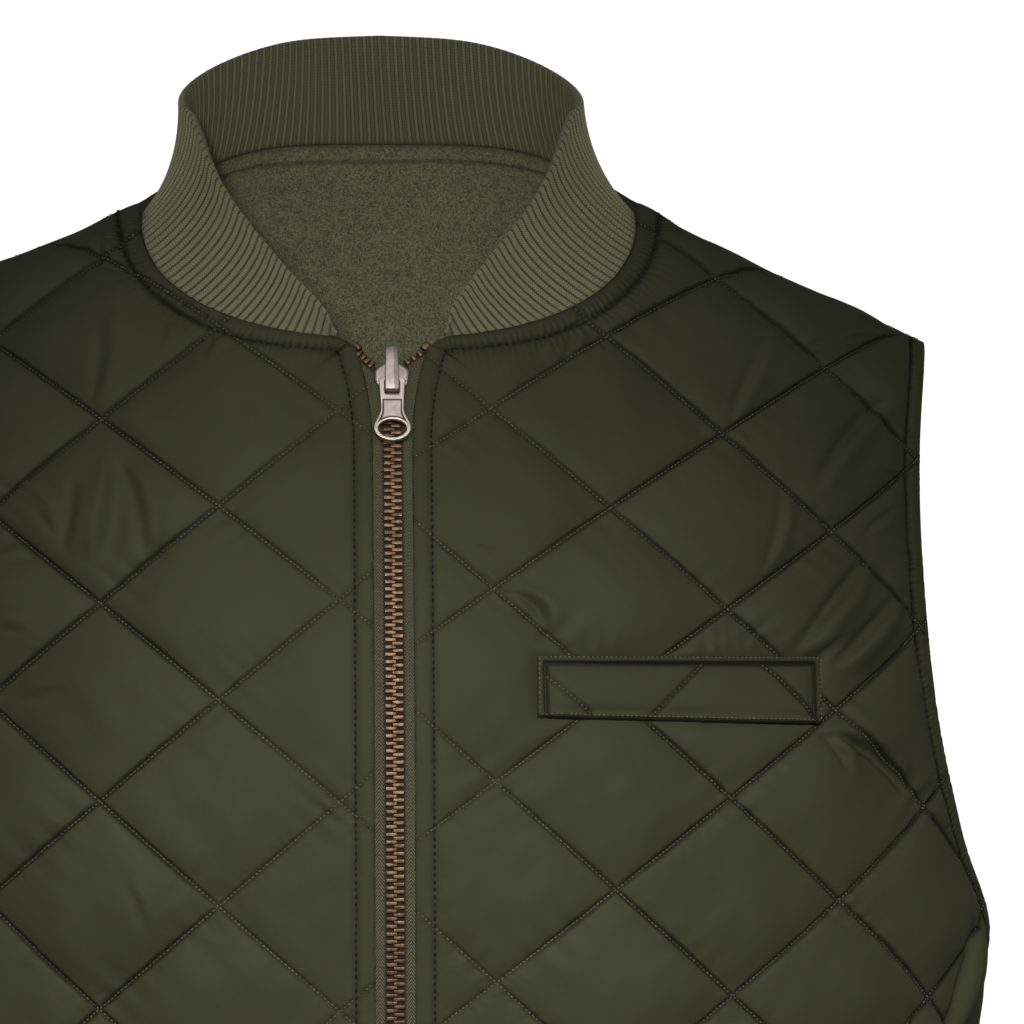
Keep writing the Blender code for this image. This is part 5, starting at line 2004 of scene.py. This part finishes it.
def build_stage():
    floor = bmesh.new()
    bmesh.ops.create_circle(floor, cap_ends=True, segments=96, radius=FLOOR_RADIUS)
    bmesh.ops.translate(floor, vec=(0.0, 0.0, FLOOR_LEVEL), verts=floor.verts)
    obj = add_object("studio_floor", mesh_of("studio_floor", floor))
    obj.data.materials.append(finish("floor"))
    obj.visible_diffuse = False
    obj.visible_glossy = False

    world = bpy.data.worlds.new("studio")
    world.use_nodes = True
    bpy.context.scene.world = world
    tree = world.node_tree
    background = tree.nodes["Background"]
    feed(tree, background.inputs["Color"], (1.0, 1.0, 1.0, 1.0))
    seen = add_node(tree, "ShaderNodeLightPath").outputs["Is Camera Ray"]
    strength = add_node(
        tree, "ShaderNodeMath", {"operation": "MULTIPLY_ADD"}, {0: seen, 1: BACKDROP, 2: AMBIENT}
    )
    feed(tree, background.inputs["Strength"], strength.outputs[0])
    build_lights()
    build_camera()
    bpy.context.scene.view_settings.view_transform = "Standard"
    bpy.context.scene.view_settings.look = "None"


def build_lights():
    """Weak soft light all round, two spots on the fronts, one on the neck and a gleam from above."""
    add_light("front_softbox", (0.0, -2.5, 0.9), (0.0, 0.0, -0.15), (1.6, 1.2), 9.0)
    behind = add_light("back_softbox", (0.5, 2.6, -0.1), (0.0, 0.0, -0.25), (1.6, 1.4), 60.0)
    behind.visible_glossy = False
    for side in (-1, 1):
        beside = add_light("side_softbox", (1.9 * side, 1.7, 0.3), (0.0, 0.0, -0.3), (1.2, 1.2), 22.0)
        beside.visible_glossy = False
    add_spot("left_spot", (-0.55, -2.2, 0.95), (-0.18, -0.1, -0.35), 12.0, 0.25, 300.0)
    add_spot("right_spot", (0.35, -2.2, 0.95), (0.155, -0.1, -0.35), 12.0, 0.25, 350.0)
    add_spot("neck_spot", (-0.15, -2.5, 0.22), (-0.015, 0.0, 0.02), 6.1, 0.16, 170.0)
    gleam = add_light("top_softbox", (-0.15, -1.1, 1.6), (0.0, -0.07, -0.08), (1.8, 1.6), 9.0)
    gleam.visible_diffuse = False


def add_light(name, where, aim, size, power):
    data = bpy.data.lights.new(name, "AREA")
    data.shape = "RECTANGLE"
    data.size, data.size_y = size
    return aim_light(data, where, aim, power)


def add_spot(name, where, aim, cone, radius, power):
    """Soft spot light, its cone in degrees from side to side."""
    data = bpy.data.lights.new(name, "SPOT")
    data.spot_size = math.radians(cone)
    data.spot_blend = 1.0
    data.shadow_soft_size = radius
    return aim_light(data, where, aim, power)


def aim_light(data, where, aim, power):
    data.energy = power
    obj = add_object(data.name, data)
    obj.location = where
    obj.rotation_euler = (Vector(aim) - Vector(where)).to_track_quat("-Z", "Y").to_euler()
    return obj


def build_camera():
    back = Vector((
        math.sin(CAMERA_TURN) * math.cos(CAMERA_RISE), -math.cos(CAMERA_TURN) * math.cos(CAMERA_RISE),
        math.sin(CAMERA_RISE),
    ))
    data = bpy.data.cameras.new("photo_camera")
    data.sensor_width = 36.0
    data.lens = CAMERA_LENS
    data.clip_end = 20.0
    obj = add_object("photo_camera", data)
    obj.location = CAMERA_AIM + back * CAMERA_DISTANCE
    obj.rotation_euler = back.to_track_quat("Z", "Y").to_euler()
    bpy.context.scene.camera = obj


# Operators


PANELS = (
    ("shell_front_left", "front", 1, "front_left"), ("shell_front_right", "front", -1, "front_right"),
    ("shell_back", "back", 0, "back"),
)


class VEST_OT_stage(bpy.types.Operator):
    """Add the floor, lights and camera"""

    bl_idname = "vest.stage"
    bl_label = "Stage"

    def execute(self, context):
        build_stage()
        return {"FINISHED"}


class VEST_OT_shell(bpy.types.Operator):
    """Build the quilted shell and its stitches"""

    bl_idname = "vest.shell"
    bl_label = "Quilted shell"

    def execute(self, context):
        for name, face, side, node in PANELS:
            sew_panel(build_shell(name, face, side, node), node)
        return {"FINISHED"}


class VEST_OT_pocket(bpy.types.Operator):
    """Build the chest pocket's welt"""

    bl_idname = "vest.pocket"
    bl_label = "Pocket welt"

    def execute(self, context):
        build_welt()
        return {"FINISHED"}


class VEST_OT_lining(bpy.types.Operator):
    """Build the fleece of the reverse side"""

    bl_idname = "vest.lining"
    bl_label = "Fleece lining"

    def execute(self, context):
        build_lining("fleece_front_left", "front", 1, "lining_front_left")
        build_lining("fleece_front_right", "front", -1, "lining_front_right")
        build_lining("fleece_back", "back", 0, "lining_back")
        return {"FINISHED"}


class VEST_OT_collar(bpy.types.Operator):
    """Build the rib collar"""

    bl_idname = "vest.collar"
    bl_label = "Rib collar"

    def execute(self, context):
        build_collar()
        return {"FINISHED"}


class VEST_OT_zip(bpy.types.Operator):
    """Build the tapes, teeth, slider and pull of the zip"""

    bl_idname = "vest.zip"
    bl_label = "Zip"

    def execute(self, context):
        build_tapes()
        build_teeth()
        build_zip_ends()
        build_slider()
        build_pull()
        return {"FINISHED"}


OPERATORS = (VEST_OT_stage, VEST_OT_shell, VEST_OT_pocket, VEST_OT_lining, VEST_OT_collar, VEST_OT_zip)


class VEST_PT_panel(bpy.types.Panel):
    """Vest builder in the sidebar"""

    bl_idname = "VEST_PT_panel"
    bl_label = "Quilted vest"
    bl_space_type = "VIEW_3D"
    bl_region_type = "UI"
    bl_category = "Vest"

    def draw(self, context):
        for group in (context.scene.vest_sizes, context.scene.vest_colours):
            for name in group.__annotations__:
                self.layout.prop(group, name)
        for operator in OPERATORS:
            self.layout.operator(operator.bl_idname)


CLASSES = (VestSizes, VestColours, *OPERATORS, VEST_PT_panel)


def register():
    for cls in CLASSES:
        bpy.utils.register_class(cls)
    bpy.types.Scene.vest_sizes = bpy.props.PointerProperty(type=VestSizes)
    bpy.types.Scene.vest_colours = bpy.props.PointerProperty(type=VestColours)


def unregister():
    del bpy.types.Scene.vest_colours
    del bpy.types.Scene.vest_sizes
    for cls in reversed(CLASSES):
        bpy.utils.unregister_class(cls)


def main():
    register()
    for operator in OPERATORS:
        group, name = operator.bl_idname.split(".")
        getattr(getattr(bpy.ops, group), name)()


if __name__ == "__main__":
    main()
